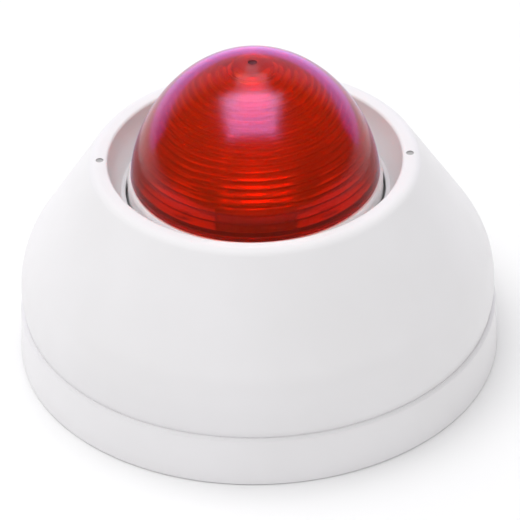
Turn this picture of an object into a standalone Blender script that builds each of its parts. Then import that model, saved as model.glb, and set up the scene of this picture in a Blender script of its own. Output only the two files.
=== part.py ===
"""Alarm siren with a strobe beacon, a round unit that hangs on a wall.

A shallow base takes every working part: a tower that carries the strobe and its red lens, a
loudspeaker inside the tower, and a control board beside it. The white cover drops over them. Its
sunk well surrounds the lens and leaves a thin ring-shaped slit, which is where the sound comes out.

The origin is the centre of the flat back, +Z points away from the wall and +Y is up on the wall.
All sizes are in millimetres; to_metres() scales each shape as it is made.
"""

import math

import bmesh
import bpy
from mathutils import Matrix, Vector

# ---------------------------------------------------------------- driving sizes, in millimetres

GAP = 0.3  # between two pieces that touch
FINE, MEDIUM, COARSE, TINY = 36, 24, 14, 8  # segments round a circle

BASE_RADIUS = 60.0
BASE_TOP_RADIUS = 59.3
FLOOR = 2.4
SEAM_Z = 13.0
TONGUE_TOP = 15.6
TONGUE_INNER, TONGUE_OUTER = 56.2, 57.4

BULGE_Z = 18.5  # where the cover is widest
BULGE_ARC = 21.0
COVER_RADIUS = 59.1
CONE_DEG = 32.5  # of the shoulder, from the vertical
RIM_Z = 54.6
RIM_FILLET = 3.0
SHELL = 2.2
WELL_TOP_RADIUS, WELL_LOW_RADIUS = 36.0, 33.2  # the sunk well round the lens
WELL_Z, WELL_WALL = 46.0, 2.0
WELL_HOLE_RADIUS = 32.0
CAVITY_ROOF_Z = 50.6
COLUMN_TOP = 44.0
GATE_RADIUS, GATE_DEPTH, GATE_AT = 0.9, 0.6, 38.0  # the two moulding gate dimples on the rim

LENS_RADIUS = 30.7
LENS_FOOT_Z, LENS_TOP_Z = 50.4, 82.0
DOME_START_Z = 49.5  # where the dome's curve would be upright, just below the lens's foot
LENS_POWER = 1.71  # above 1, how much fuller than a cone the dome is
LENS_WALL = 2.0
SPIGOT_OUTER, SPIGOT_LOW_Z = 28.3, 46.0
BEAD_RADIUS, BEAD_LOW, BEAD_TOP = 28.75, 48.2, 48.9

TOWER_OUTER, TOWER_INNER = 32.2, 30.2
SHOULDER_Z = 42.6  # where the tower narrows to the collar that carries the lens
COLLAR_RADIUS, COLLAR_TOP_RADIUS = 31.4, 30.9
COLLAR_BORE = 28.6
DECK_LOW, DECK_TOP = 42.5, 44.5
LEDGE_LOW, LEDGE_TOP, LEDGE_INNER = 26.0, 29.0, 24.6
WINDOW_LOW, WINDOW_TOP = 30.0, 40.0
WINDOW_HALF_DEG = 19.0
WINDOWS = 6
FIRST_WINDOW_DEG = 40.0

COVER_BOSS_AT, COVER_BOSS_RADIUS = 48.5, 4.0
COVER_BOSS_DEGS = (90, 210, 330)
COVER_PAD_TOP = 7.0
TOWER_BOSS_AT, TOWER_BOSS_RADIUS = 27.0, 3.4
TOWER_BOSS_DEGS = (30, 150, 270)
TOWER_PAD_TOP = 4.0
TOWER_SEAT_INNER, TOWER_SEAT_OUTER = 22.5, 33.7

RIB_AT, RIB_LENGTH, RIB_DEGS = 45.0, 23.5, (28, 118, 152, 195, 342)
KEYHOLE_AT, KEYHOLE_RADIUS, KEYHOLE_SLOT_RADIUS = 44.0, 4.0, 2.0
KEYHOLE_LOW_Y, KEYHOLE_HIGH_Y = -3.0, 4.5
CABLE_AT, CABLE_DEG, CABLE_HOLE_RADIUS = 44.0, 60.0, 5.3

BOARD_LOW, BOARD_TOP = 7.0, 8.6
BOARD_INNER, BOARD_OUTER = 35.0, 55.0
BOARD_DEGS = (219.0, 321.0)
BOARD_POSTS = ((226.0, 39.0), (314.0, 39.0), (277.0, 52.0))  # degrees, radius
ON_BOARD = BOARD_TOP + GAP

STROBE_BOARD_LOW, STROBE_BOARD_TOP = 46.0, 47.6
STROBE_BOARD_RADIUS = 24.0
ON_STROBE = STROBE_BOARD_TOP + GAP
STROBE_POSTS = ((90.0, 19.0), (210.0, 19.0), (330.0, 19.0))
FLASH_HALF, FLASH_BEND_Z = 4.0, 60.0  # half the distance between the flash tube's legs
FLASH_OUTER, FLASH_INNER = 2.1, 1.4

SPEAKER_SCREW_AT, SPEAKER_SCREW_DEGS = 26.1, (90, 210, 330)
FLANGE_LOW, FLANGE_TOP, FLANGE_RADIUS = 22.3, 23.7, 27.6
YOKE_LOW, YOKE_PLATE_TOP, YOKE_RADIUS = 3.4, 5.4, 14.0
POLE_TOP, POLE_RADIUS = 13.0, 4.6
MAGNET_LOW, MAGNET_TOP, MAGNET_INNER, MAGNET_OUTER = 5.7, 10.7, 8.5, 16.0
PLATE_LOW, PLATE_TOP, PLATE_INNER, PLATE_OUTER = 11.0, 13.0, 5.9, 15.0
COIL_LOW, COIL_TOP, COIL_INNER, COIL_OUTER = 9.0, 17.4, 4.95, 5.55
CONE_NECK_RADIUS, CONE_EDGE_RADIUS, CONE_LOW, CONE_TOP = 6.4, 20.6, 18.0, 23.4
GASKET_LOW, GASKET_TOP, GASKET_INNER = 24.0, 25.7, 24.9

TAMPER_DEG, TAMPER_AT = 290.0, 50.5
TAMPER_BODY_TOP = 14.5
TAMPER_CAP_LOW, TAMPER_CAP_TOP = 17.0, 18.2

LEAD_DEG = 250.0  # the side of the tower that the inner leads enter
LEAD_RADIUS = 0.5
LEAD_SPREAD_DEG = 1.8

# ---------------------------------------------------------------- materials

WHITE_PLASTIC = ("white_plastic", (0.82, 0.81, 0.83), 0.35, 0.0)
RED_LENS = ("red_lens", (0.55, 0.02, 0.01), 0.12, 0.0)
BLACK_RUBBER = ("black_rubber", (0.03, 0.03, 0.03), 0.75, 0.0)
GREEN_BOARD = ("green_board", (0.02, 0.20, 0.08), 0.4, 0.0)
WHITE_BOARD = ("white_board", (0.80, 0.80, 0.78), 0.4, 0.0)
STEEL = ("steel", (0.62, 0.62, 0.64), 0.3, 1.0)
ZINC = ("zinc", (0.72, 0.70, 0.62), 0.35, 1.0)
FERRITE = ("ferrite", (0.06, 0.06, 0.065), 0.6, 0.0)
COPPER = ("copper", (0.75, 0.35, 0.16), 0.3, 1.0)
CLEAR_GLASS = ("clear_glass", (0.9, 0.95, 0.95), 0.05, 0.0)
MIRROR = ("mirror", (0.9, 0.9, 0.9), 0.08, 1.0)
BLACK_PLASTIC = ("black_plastic", (0.04, 0.04, 0.045), 0.4, 0.0)
BLUE_PLASTIC = ("blue_plastic", (0.03, 0.16, 0.45), 0.35, 0.0)
AMBER_FILM = ("amber_film", (0.35, 0.28, 0.16), 0.25, 0.0)
CREAM_PLASTIC = ("cream_plastic", (0.78, 0.74, 0.62), 0.4, 0.0)
RED_WIRE = ("red_wire", (0.6, 0.03, 0.02), 0.4, 0.0)
BLACK_WIRE = ("black_wire", (0.03, 0.03, 0.03), 0.4, 0.0)
FOAM = ("foam", (0.10, 0.10, 0.11), 0.9, 0.0)


def material(spec):
    name, colour, roughness, metallic = spec
    found = bpy.data.materials.get(name)
    if found:
        return found
    made = bpy.data.materials.new(name)
    made.use_nodes = True
    shader = made.node_tree.nodes["Principled BSDF"]
    shader.inputs["Base Color"].default_value = (*colour, 1.0)
    shader.inputs["Roughness"].default_value = roughness
    shader.inputs["Metallic"].default_value = metallic
    return made


# ---------------------------------------------------------------- outlines and shapes


def polar(radius, degrees, z=0.0):
    angle = math.radians(degrees)
    return Vector((radius * math.cos(angle), radius * math.sin(angle), z))


def arc(centre, radius, start_deg, end_deg, steps):
    """Points of a circular arc in the (radius, z) plane."""
    points = []
    for i in range(steps + 1):
        angle = math.radians(start_deg + (end_deg - start_deg) * i / steps)
        points.append((centre[0] + radius * math.cos(angle), centre[1] + radius * math.sin(angle)))
    return points


def turned(outline, segments=FINE, at=(0.0, 0.0, 0.0)):
    """A closed outline of (radius, z) points turned round the vertical line through at."""
    shape = bmesh.new()
    columns = []
    for radius, z in outline:
        if radius < 1e-6:
            columns.append([shape.verts.new((at[0], at[1], at[2] + z))])
            continue
        column = []
        for i in range(segments):
            place = polar(radius, 360.0 * i / segments, z)
            column.append(shape.verts.new(place + Vector(at)))
        columns.append(column)
    for low, high in zip(columns, columns[1:] + columns[:1]):
        if len(low) == 1 and len(high) == 1:
            continue
        for i in range(segments):
            j = (i + 1) % segments
            corners = [low[i % len(low)], low[j % len(low)], high[j % len(high)], high[i % len(high)]]
            unique = [v for n, v in enumerate(corners) if v not in corners[:n]]
            shape.faces.new(unique)
    bmesh.ops.recalc_face_normals(shape, faces=shape.faces)
    return shape


def rod(radius, low, high, at=(0.0, 0.0), segments=TINY):
    return turned([(0, low), (radius, low), (radius, high), (0, high)], segments, (at[0], at[1], 0))


def tube(inner, outer, low, high, segments=MEDIUM, at=(0.0, 0.0)):
    return turned([(inner, low), (outer, low), (outer, high), (inner, high)], segments, (at[0], at[1], 0))


def prism(outline, low, high):
    """A flat outline of (x, y) points, raised from low to high."""
    shape = bmesh.new()
    bottom = [shape.verts.new((x, y, low)) for x, y in outline]
    top = [shape.verts.new((x, y, high)) for x, y in outline]
    shape.faces.new(bottom[::-1])
    shape.faces.new(top)
    for i in range(len(outline)):
        j = (i + 1) % len(outline)
        shape.faces.new((bottom[i], bottom[j], top[j], top[i]))
    bmesh.ops.recalc_face_normals(shape, faces=shape.faces)
    return shape


def block(length, width, low, high, at=(0.0, 0.0), turn_deg=0.0):
    """A box, its length along x before it is turned about the vertical."""
    half_l, half_w = length / 2, width / 2
    shape = prism([(-half_l, -half_w), (half_l, -half_w), (half_l, half_w), (-half_l, half_w)], low, high)
    place = Matrix.Translation((at[0], at[1], 0)) @ Matrix.Rotation(math.radians(turn_deg), 4, "Z")
    bmesh.ops.transform(shape, matrix=place, verts=shape.verts)
    return shape


def sector(inner, outer, start_deg, end_deg, low, high, steps=12):
    """A piece of a ring between two angles."""
    angles = [start_deg + (end_deg - start_deg) * i / steps for i in range(steps + 1)]
    outline = [polar(outer, a).xy for a in angles] + [polar(inner, a).xy for a in reversed(angles)]
    return prism([tuple(p) for p in outline], low, high)


def softened(shape, width, segments=1):
    """The shape with its sharper edges bevelled."""
    edges = [e for e in shape.edges if e.is_manifold and e.calc_face_angle() > math.radians(50)]
    bmesh.ops.bevel(shape, geom=edges, offset=width, segments=segments, profile=0.5, affect="EDGES")
    return shape


def together(*shapes):
    """Several separate shapes as one mesh, to cut or join them in one step."""
    joined = bmesh.new()
    for shape in shapes:
        holder = bpy.data.meshes.new("holder")
        shape.to_mesh(holder)
        joined.from_mesh(holder)
        shape.free()
        bpy.data.meshes.remove(holder)
    return joined


def object_of(name, shape):
    mesh = bpy.data.meshes.new(name)
    shape.to_mesh(mesh)
    shape.free()
    made = bpy.data.objects.new(name, mesh)
    bpy.context.scene.collection.objects.link(made)
    return made


def combined(first, second, operation):
    """The Boolean of two shapes, as a new shape. Both are used up."""
    target, tool = object_of("target", first), object_of("tool", second)
    modifier = target.modifiers.new("Boolean", "BOOLEAN")
    modifier.object = tool
    modifier.operation = operation
    modifier.solver = "EXACT"
    bpy.context.view_layer.update()
    result = bmesh.new()
    result.from_object(target, bpy.context.evaluated_depsgraph_get())
    for used in (target, tool):
        bpy.data.objects.remove(used)
    return result


def cut(shape, *tools):
    return combined(shape, together(*tools), "DIFFERENCE")


def joined(shape, *more):
    return combined(shape, together(*more), "UNION")


def trimmed(shape, keep):
    return combined(shape, keep, "INTERSECT")


def part(name, shape, look, body, smooth_deg=35.0):
    """A node: the shape in metres, its origin on its body's empty."""
    to_metres = Matrix.Scale(0.001, 4)
    bmesh.ops.transform(shape, matrix=body.matrix_world.inverted() @ to_metres, verts=shape.verts)
    made = object_of(name, shape)
    made.parent = body
    made.data.materials.append(material(look))
    made.data.shade_smooth()
    made.data.set_sharp_from_angle(angle=math.radians(smooth_deg))
    return made


def body_empty(name, place_mm):
    empty = bpy.data.objects.new(name, None)
    empty.location = Vector(place_mm) * 0.001
    bpy.context.scene.collection.objects.link(empty)
    bpy.context.view_layer.update()
    return empty


# ---------------------------------------------------------------- fasteners


def pan_screw(at, head_low, head_high, head_radius, tip, shank_radius):
    """A cross-headed screw on a vertical line. Its tip is above its head where the tip is higher."""
    head = rod(head_radius, head_low, head_high, at, TINY)
    points_up = tip > head_high
    shank_start = (head_high - 0.2) if points_up else (head_low + 0.2)
    taper = 0.8 if points_up else -0.8
    shank_outline = [
        (0, shank_start),
        (shank_radius, shank_start),
        (shank_radius, tip - taper),
        (shank_radius * 0.35, tip),
        (0, tip),
    ]
    shank = turned(shank_outline, TINY - 2, (at[0], at[1], 0))
    screw = joined(head, shank)
    drive_depth = (head_high - head_low) * 0.5
    open_low = head_low - 1.0 if points_up else head_high - drive_depth
    open_high = head_low + drive_depth if points_up else head_high + 1.0
    long, wide = head_radius * 1.15, head_radius * 0.28
    cross = joined(
        block(long, wide, open_low, open_high, at),
        block(wide, long, open_low, open_high, at),
    )
    return cut(screw, cross)


# ---------------------------------------------------------------- base and its fittings


def base_shape():
    outline = [
        (0, 0),
        (BASE_RADIUS - 0.8, 0),
        (BASE_RADIUS, 0.8),
        (BASE_TOP_RADIUS, SEAM_Z - 0.5),
        (BASE_TOP_RADIUS - 0.4, SEAM_Z),
        (TONGUE_OUTER, SEAM_Z),
        (TONGUE_OUTER, TONGUE_TOP),
        (TONGUE_INNER, TONGUE_TOP),
        (TONGUE_INNER, FLOOR),
        (TOWER_SEAT_OUTER, FLOOR),
        (TOWER_SEAT_OUTER, TOWER_PAD_TOP),
        (TOWER_SEAT_INNER, TOWER_PAD_TOP),
        (TOWER_SEAT_INNER, FLOOR),
        (0, FLOOR),
    ]
    tray = turned(outline)
    sunk = FLOOR - 1.0  # how far each added piece reaches into the floor
    raised = [rod(5.5, sunk, COVER_PAD_TOP, polar(COVER_BOSS_AT, a), COARSE) for a in COVER_BOSS_DEGS]
    raised += [rod(2.8, sunk, BOARD_LOW - GAP, polar(r, a), TINY) for a, r in BOARD_POSTS]
    for degrees in RIB_DEGS:
        raised.append(block(RIB_LENGTH, 1.4, sunk, 5.4, polar(RIB_AT, degrees), degrees))
    tray = joined(tray, *raised)

    below = -1.0
    holes = []
    for degrees in COVER_BOSS_DEGS:
        place = polar(COVER_BOSS_AT, degrees)
        holes.append(counterbore(place, 3.3, 4.2, 1.75, COVER_PAD_TOP + 1.0))
    for degrees in TOWER_BOSS_DEGS:
        place = polar(TOWER_BOSS_AT, degrees)
        holes.append(counterbore(place, 3.1, 2.2, 1.75, TOWER_PAD_TOP + 1.0))
    holes += [rod(1.45, FLOOR + 0.6, BOARD_LOW + 1.0, polar(r, a), TINY) for a, r in BOARD_POSTS]
    holes.append(rod(CABLE_HOLE_RADIUS, below, FLOOR + 1.0, polar(CABLE_AT, CABLE_DEG), COARSE))
    for side in (-1, 1):
        holes.append(keyhole(side * KEYHOLE_AT, below, FLOOR + 1.0))
    return cut(tray, *holes)


def counterbore(at, head_radius, head_depth, hole_radius, high):
    """A screw's clearance: wide from below the back to head_depth, then narrow up to high."""
    outline = [
        (0, -1.0),
        (head_radius, -1.0),
        (head_radius, head_depth),
        (hole_radius, head_depth),
        (hole_radius, high),
        (0, high),
    ]
    return turned(outline, COARSE - 4, (at[0], at[1], 0))


def keyhole(x, low, high):
    """A wall screw's head goes in at the bottom and slides up into the narrow end."""
    neck_deg = math.degrees(math.asin(KEYHOLE_SLOT_RADIUS / KEYHOLE_RADIUS))
    wide = arc((x, KEYHOLE_LOW_Y), KEYHOLE_RADIUS, 90 + neck_deg, 450 - neck_deg, 16)
    narrow = arc((x, KEYHOLE_HIGH_Y - KEYHOLE_SLOT_RADIUS), KEYHOLE_SLOT_RADIUS, 0, 180, 8)
    return prism(wide + narrow, low, high)


def grommet_shape():
    outline = [(3.0, 0.5), (4.7, 0.5), (5.0, 1.0), (5.0, FLOOR + GAP), (7.2, FLOOR + GAP)]
    outline += [(7.0, 4.0), (4.6, 4.4), (3.8, 7.4), (3.0, 7.4)]
    return turned(outline, COARSE, polar(CABLE_AT, CABLE_DEG))


def make_base(body):
    part("base", base_shape(), WHITE_PLASTIC, body)
    part("cable_grommet", grommet_shape(), BLACK_RUBBER, body)
    seal_low = TONGUE_TOP + GAP
    seal = tube(TONGUE_INNER + 0.1, TONGUE_OUTER - 0.1, seal_low, seal_low + 1.0, FINE)
    part("cover_seal", seal, BLACK_RUBBER, body)
    for number, degrees in enumerate(COVER_BOSS_DEGS, 1):
        screw = pan_screw(polar(COVER_BOSS_AT, degrees), 1.6, 3.9, 2.9, 19.0, 1.4)
        part(f"cover_screw_{number}", screw, ZINC, body)
    for number, degrees in enumerate(TOWER_BOSS_DEGS, 1):
        screw = pan_screw(polar(TOWER_BOSS_AT, degrees), 0.4, 1.9, 2.7, 12.0, 1.4)
        part(f"tower_screw_{number}", screw, ZINC, body)


# ---------------------------------------------------------------- cover


def cover_outside(inset):
    """The cover's outer line from the seam to the rim's flat, moved inwards by inset."""
    centre = (COVER_RADIUS - BULGE_ARC, BULGE_Z)
    radius = BULGE_ARC - inset
    low_deg = -math.degrees(math.asin((BULGE_Z - SEAM_Z - GAP) / BULGE_ARC))
    points = arc(centre, radius, low_deg, CONE_DEG, 7)
    slope = math.tan(math.radians(CONE_DEG))
    start_r, start_z = points[-1]
    top = RIM_Z - inset
    corner_r = start_r - slope * (top - start_z)
    fillet = RIM_FILLET - min(inset, 1.0)
    reach = fillet * math.tan(math.radians(90 - CONE_DEG) / 2)
    centre = (corner_r - reach, top - fillet)
    return points + arc(centre, fillet, CONE_DEG, 90, 3)


def cover_shape():
    outside = cover_outside(0.0)
    edge = 0.8
    well_lip = arc((WELL_TOP_RADIUS + edge, RIM_Z - edge), edge, 90, 180, 3)
    well = [
        (WELL_LOW_RADIUS, WELL_Z),
        (WELL_HOLE_RADIUS, WELL_Z),
        (WELL_HOLE_RADIUS, WELL_Z - WELL_WALL),
        (WELL_LOW_RADIUS + WELL_WALL, WELL_Z - WELL_WALL),
        (WELL_TOP_RADIUS + WELL_WALL, CAVITY_ROOF_Z),
    ]
    inside = [p for p in cover_outside(SHELL) if TONGUE_TOP + 2.0 < p[1] < CAVITY_ROOF_Z - 4.0]
    slope = math.tan(math.radians(CONE_DEG))
    last_r, last_z = inside[-1]
    inside.append((last_r - slope * (CAVITY_ROOF_Z - last_z), CAVITY_ROOF_Z))
    rebate_roof = TONGUE_TOP + 1.6
    rebate = TONGUE_OUTER + GAP
    lip = [(inside[0][0], rebate_roof), (rebate, rebate_roof), (rebate, SEAM_Z + GAP)]
    outline = outside + well_lip + well + inside[::-1] + lip
    shell = turned(outline)

    columns = [
        rod(COVER_BOSS_RADIUS, COVER_PAD_TOP + GAP, COLUMN_TOP, polar(COVER_BOSS_AT, a), COARSE)
        for a in COVER_BOSS_DEGS
    ]
    post = polar(TAMPER_AT, TAMPER_DEG)
    columns.append(rod(2.2, TAMPER_CAP_TOP + GAP, COLUMN_TOP, post, TINY))
    columns.append(block(12.0, 1.4, 24.0, COLUMN_TOP, polar(TAMPER_AT - 2.0, TAMPER_DEG), TAMPER_DEG))
    within = turned([(0, 0)] + cover_outside(1.1) + [(0, RIM_Z - 1.1)])
    shell = joined(shell, trimmed(together(*columns[:3]), within))
    within = turned([(0, 0)] + cover_outside(1.1) + [(0, RIM_Z - 1.1)])
    shell = joined(shell, trimmed(joined(columns[3], columns[4]), within))

    holes = [rod(1.7, COVER_PAD_TOP, 21.0, polar(COVER_BOSS_AT, a), TINY) for a in COVER_BOSS_DEGS]
    for degrees in (0, 180):
        holes.append(rod(GATE_RADIUS, RIM_Z - GATE_DEPTH, RIM_Z + 1.0, polar(GATE_AT, degrees), COARSE))
    return cut(shell, *holes)


# ---------------------------------------------------------------- tower, lens and strobe


def tower_shape():
    outline = [
        (TOWER_INNER, TOWER_PAD_TOP + GAP),
        (TOWER_OUTER, TOWER_PAD_TOP + GAP),
        (TOWER_OUTER, SHOULDER_Z),
        (COLLAR_RADIUS, SHOULDER_Z + 0.8),
        (COLLAR_RADIUS, LENS_FOOT_Z - 1.2),
        (COLLAR_TOP_RADIUS, LENS_FOOT_Z - GAP),
        (COLLAR_BORE, LENS_FOOT_Z - GAP),
        (COLLAR_BORE, BEAD_TOP + GAP),
        (BEAD_RADIUS + GAP, BEAD_TOP + 0.1),
        (BEAD_RADIUS + GAP, BEAD_LOW - 0.2),
        (COLLAR_BORE, BEAD_LOW - 0.4),
        (COLLAR_BORE, DECK_TOP),
        (0, DECK_TOP),
        (0, DECK_LOW),
        (TOWER_INNER, DECK_LOW),
        (TOWER_INNER, LEDGE_TOP),
        (LEDGE_INNER, LEDGE_TOP),
        (LEDGE_INNER, LEDGE_LOW),
        (TOWER_INNER, LEDGE_LOW),
    ]
    tower = turned(outline)
    added = [
        rod(TOWER_BOSS_RADIUS, TOWER_PAD_TOP + GAP, 16.0, polar(TOWER_BOSS_AT, a), TINY)
        for a in TOWER_BOSS_DEGS
    ]
    added += [rod(3.0, DECK_TOP - 1.0, STROBE_BOARD_LOW - GAP, polar(r, a), TINY) for a, r in STROBE_POSTS]
    tower = joined(tower, *added)

    openings = []
    for i in range(WINDOWS):
        middle = FIRST_WINDOW_DEG + i * 360 / WINDOWS
        start, end = middle - WINDOW_HALF_DEG, middle + WINDOW_HALF_DEG
        openings.append(sector(28.0, 35.0, start, end, WINDOW_LOW, WINDOW_TOP, 6))
    openings.append(sector(28.0, 35.0, LEAD_DEG - 7, LEAD_DEG + 7, 10.0, 18.0, 3))
    openings.append(rod(2.2, DECK_LOW - 1, DECK_TOP + 1, polar(24.2, LEAD_DEG), TINY))
    for turn in (-1, 1):
        place = polar(29.0, LEAD_DEG + turn * LEAD_SPREAD_DEG)
        openings.append(rod(0.85, LEDGE_LOW - 1, LEDGE_TOP + 1, place, TINY - 4))
    for a in TOWER_BOSS_DEGS:
        openings.append(rod(1.7, FLOOR, 13.0, polar(TOWER_BOSS_AT, a), TINY - 2))
    for a in SPEAKER_SCREW_DEGS:
        openings.append(rod(1.3, LEDGE_LOW - 1, LEDGE_TOP + 1, polar(SPEAKER_SCREW_AT, a), TINY - 2))
    for a, r in STROBE_POSTS:
        openings.append(rod(1.3, DECK_LOW - 1, STROBE_BOARD_LOW, polar(r, a), TINY - 2))
    return cut(tower, *openings)


def dome(widest, foot_z, top_z, steps):
    """The dome's line from its foot to its pole, closest together where it turns most."""
    points = []
    for i in range(steps):
        z = foot_z + (top_z - foot_z) * math.sin(math.radians(90 * i / steps))
        share = (z - DOME_START_Z) / (top_z - DOME_START_Z)
        points.append((widest * math.sqrt(1 - share**LENS_POWER), z))
    return points + [(0, top_z)]


def lens_shape():
    outside = dome(LENS_RADIUS, LENS_FOOT_Z, LENS_TOP_Z, 11)
    inside = dome(LENS_RADIUS - LENS_WALL, LENS_FOOT_Z + 0.6, LENS_TOP_Z - LENS_WALL, 7)
    spigot_inner = SPIGOT_OUTER - LENS_WALL
    outline = outside + inside[::-1]
    outline += [
        (spigot_inner, LENS_FOOT_Z - 0.6),
        (spigot_inner, SPIGOT_LOW_Z),
        (SPIGOT_OUTER, SPIGOT_LOW_Z),
        (SPIGOT_OUTER, BEAD_LOW),
        (BEAD_RADIUS, BEAD_LOW + 0.2),
        (BEAD_RADIUS, BEAD_TOP - 0.2),
        (SPIGOT_OUTER, BEAD_TOP),
        (SPIGOT_OUTER, LENS_FOOT_Z),
    ]
    return turned(outline)


def tube_line(steps):
    """The U-shaped flash tube's centreline: up one leg, round a half circle and down the other."""
    foot = ON_STROBE + 2.4
    leg_middle = (foot + FLASH_BEND_Z) / 2
    line = [Vector((-FLASH_HALF, 0, foot)), Vector((-FLASH_HALF, 0, leg_middle))]
    for i in range(steps + 1):
        angle = math.radians(180 - 180 * i / steps)
        x, rise = FLASH_HALF * math.cos(angle), FLASH_HALF * math.sin(angle)
        line.append(Vector((x, 0, FLASH_BEND_Z + rise)))
    return line + [Vector((FLASH_HALF, 0, leg_middle)), Vector((FLASH_HALF, 0, foot))]


def flash_tube_shape():
    """A hollow glass U, open at its two feet."""
    line = tube_line(8)
    shape = bmesh.new()
    sides = TINY
    rings = {}
    for skin, radius in (("outer", FLASH_OUTER), ("inner", FLASH_INNER)):
        rings[skin] = []
        for i, point in enumerate(line):
            ahead = line[min(i + 1, len(line) - 1)] - line[max(i - 1, 0)]
            ahead.normalize()
            across = Vector((0, 1, 0))
            side = across.cross(ahead)
            ring = []
            for k in range(sides):
                angle = 2 * math.pi * k / sides
                ring.append(shape.verts.new(point + radius * (math.cos(angle) * side + math.sin(angle) * across)))
            rings[skin].append(ring)
    for skin in rings.values():
        for low, high in zip(skin, skin[1:]):
            for k in range(sides):
                shape.faces.new((low[k], low[(k + 1) % sides], high[(k + 1) % sides], high[k]))
    for end in (0, -1):
        for k in range(sides):
            n = (k + 1) % sides
            outer, inner = rings["outer"][end], rings["inner"][end]
            shape.faces.new((outer[k], outer[n], inner[n], inner[k]))
    bmesh.ops.recalc_face_normals(shape, faces=shape.faces)
    return shape


def reflector_shape():
    """A shallow mirror dish, with two holes for the tube's feet."""
    low = ON_STROBE
    outline = [(0, low), (9.0, low), (12.0, low + 1.6), (14.5, low + 4.8), (13.7, low + 4.8)]
    outline += [(11.3, low + 2.3), (8.6, low + 1.0), (0, low + 1.0)]
    dish = turned(outline, MEDIUM)
    holes = [rod(1.6, low - 1, low + 2, (x, 0), TINY) for x in (-FLASH_HALF, FLASH_HALF)]
    return cut(dish, *holes)


def lying_can(length, radius, at, turn_deg=0.0):
    """A capacitor on its side, crimped near one end. at is the middle of its underside."""
    crimp = length * 0.32
    outline = [(0, -length / 2), (radius, -length / 2), (radius, crimp)]
    outline += [(radius - 0.5, crimp + 0.5), (radius, crimp + 1.0), (radius, length / 2), (0, length / 2)]
    can = turned(outline, TINY + 4)
    place = (
        Matrix.Translation((at[0], at[1], at[2] + radius))
        @ Matrix.Rotation(math.radians(turn_deg), 4, "Z")
        @ Matrix.Rotation(math.radians(90), 4, "Y")
    )
    bmesh.ops.transform(can, matrix=place, verts=can.verts)
    return can


def standing_can(height, radius, at, low):
    """An upright capacitor, crimped near its foot."""
    outline = [(0, low), (radius, low), (radius, low + 1.2), (radius - 0.5, low + 1.8), (radius, low + 2.4)]
    outline += [(radius, low + height - 0.4), (radius - 0.4, low + height), (0, low + height)]
    return turned(outline, TINY + 6, (at[0], at[1], 0))


def make_tower(body):
    part("lens_tower", tower_shape(), WHITE_PLASTIC, body)
    seal = tube(SPIGOT_OUTER - 1.9, SPIGOT_OUTER, DECK_TOP + GAP, SPIGOT_LOW_Z - GAP)
    part("lens_seal", seal, BLACK_RUBBER, body)
    part("lens", lens_shape(), RED_LENS, body, 60.0)


def make_strobe(body):
    below, above = STROBE_BOARD_LOW - 1.0, STROBE_BOARD_TOP + 1.0
    holes = [rod(1.5, below, above, polar(r, a), TINY) for a, r in STROBE_POSTS]
    holes += [rod(1.0, below, above, (x, 0), TINY - 4) for x in (-FLASH_HALF, FLASH_HALF)]
    disc = rod(STROBE_BOARD_RADIUS, STROBE_BOARD_LOW, STROBE_BOARD_TOP, (0, 0), MEDIUM)
    part("strobe_board", cut(disc, *holes), WHITE_BOARD, body)
    for number, (degrees, radius) in enumerate(STROBE_POSTS, 1):
        screw = pan_screw(polar(radius, degrees), ON_STROBE, ON_STROBE + 1.4, 2.1, 43.2, 1.0)
        part(f"strobe_screw_{number}", screw, STEEL, body)
    part("reflector", reflector_shape(), MIRROR, body)
    part("flash_tube", flash_tube_shape(), CLEAR_GLASS, body)
    for name, x in (("tube_electrode_left", -FLASH_HALF), ("tube_electrode_right", FLASH_HALF)):
        pin = [(0, 45.2), (0.6, 45.2), (0.6, 50.6), (1.0, 50.9), (1.0, 54.5), (0, 55.2)]
        part(name, turned(pin, TINY - 2, (x, 0, 0)), STEEL, body)
    part("strobe_capacitor", lying_can(19.0, 3.9, (0, -19.0, ON_STROBE)), BLACK_PLASTIC, body)
    coil = lying_can(9.0, 3.0, (-10.0, 17.6, ON_STROBE), 24.0)
    part("trigger_transformer", coil, CREAM_PLASTIC, body)


# ---------------------------------------------------------------- loudspeaker


def make_speaker(body, moving):
    part("speaker_yoke", yoke_shape(), ZINC, body)
    part("speaker_magnet", tube(MAGNET_INNER, MAGNET_OUTER, MAGNET_LOW, MAGNET_TOP), FERRITE, body)
    part("speaker_top_plate", tube(PLATE_INNER, PLATE_OUTER, PLATE_LOW, PLATE_TOP), ZINC, body)
    part("speaker_frame", speaker_frame_shape(), STEEL, body)
    surround = [(20.7, 24.6), (20.9, 24.2), (22.2, 24.8), (23.2, 24.0), (24.6, 24.0)]
    surround += [(24.6, 24.4), (23.4, 24.4), (22.3, 25.2)]
    part("cone_surround", turned(surround, MEDIUM), AMBER_FILM, body)
    gasket = tube(GASKET_INNER, FLANGE_RADIUS - 0.1, GASKET_LOW, GASKET_TOP)
    holes = [rod(1.3, GASKET_LOW - 1, GASKET_TOP + 1, polar(SPEAKER_SCREW_AT, a), TINY - 2) for a in SPEAKER_SCREW_DEGS]
    part("speaker_gasket", cut(gasket, *holes), FOAM, body)
    for number, degrees in enumerate(SPEAKER_SCREW_DEGS, 1):
        head_high = FLANGE_LOW - GAP
        screw = pan_screw(polar(SPEAKER_SCREW_AT, degrees), head_high - 1.3, head_high, 1.9, 28.4, 0.95)
        part(f"speaker_screw_{number}", screw, ZINC, body)
    part("voice_coil", tube(COIL_INNER, COIL_OUTER, COIL_LOW, COIL_TOP), COPPER, moving)
    part("speaker_cone", cone_shape(), AMBER_FILM, moving)


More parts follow.
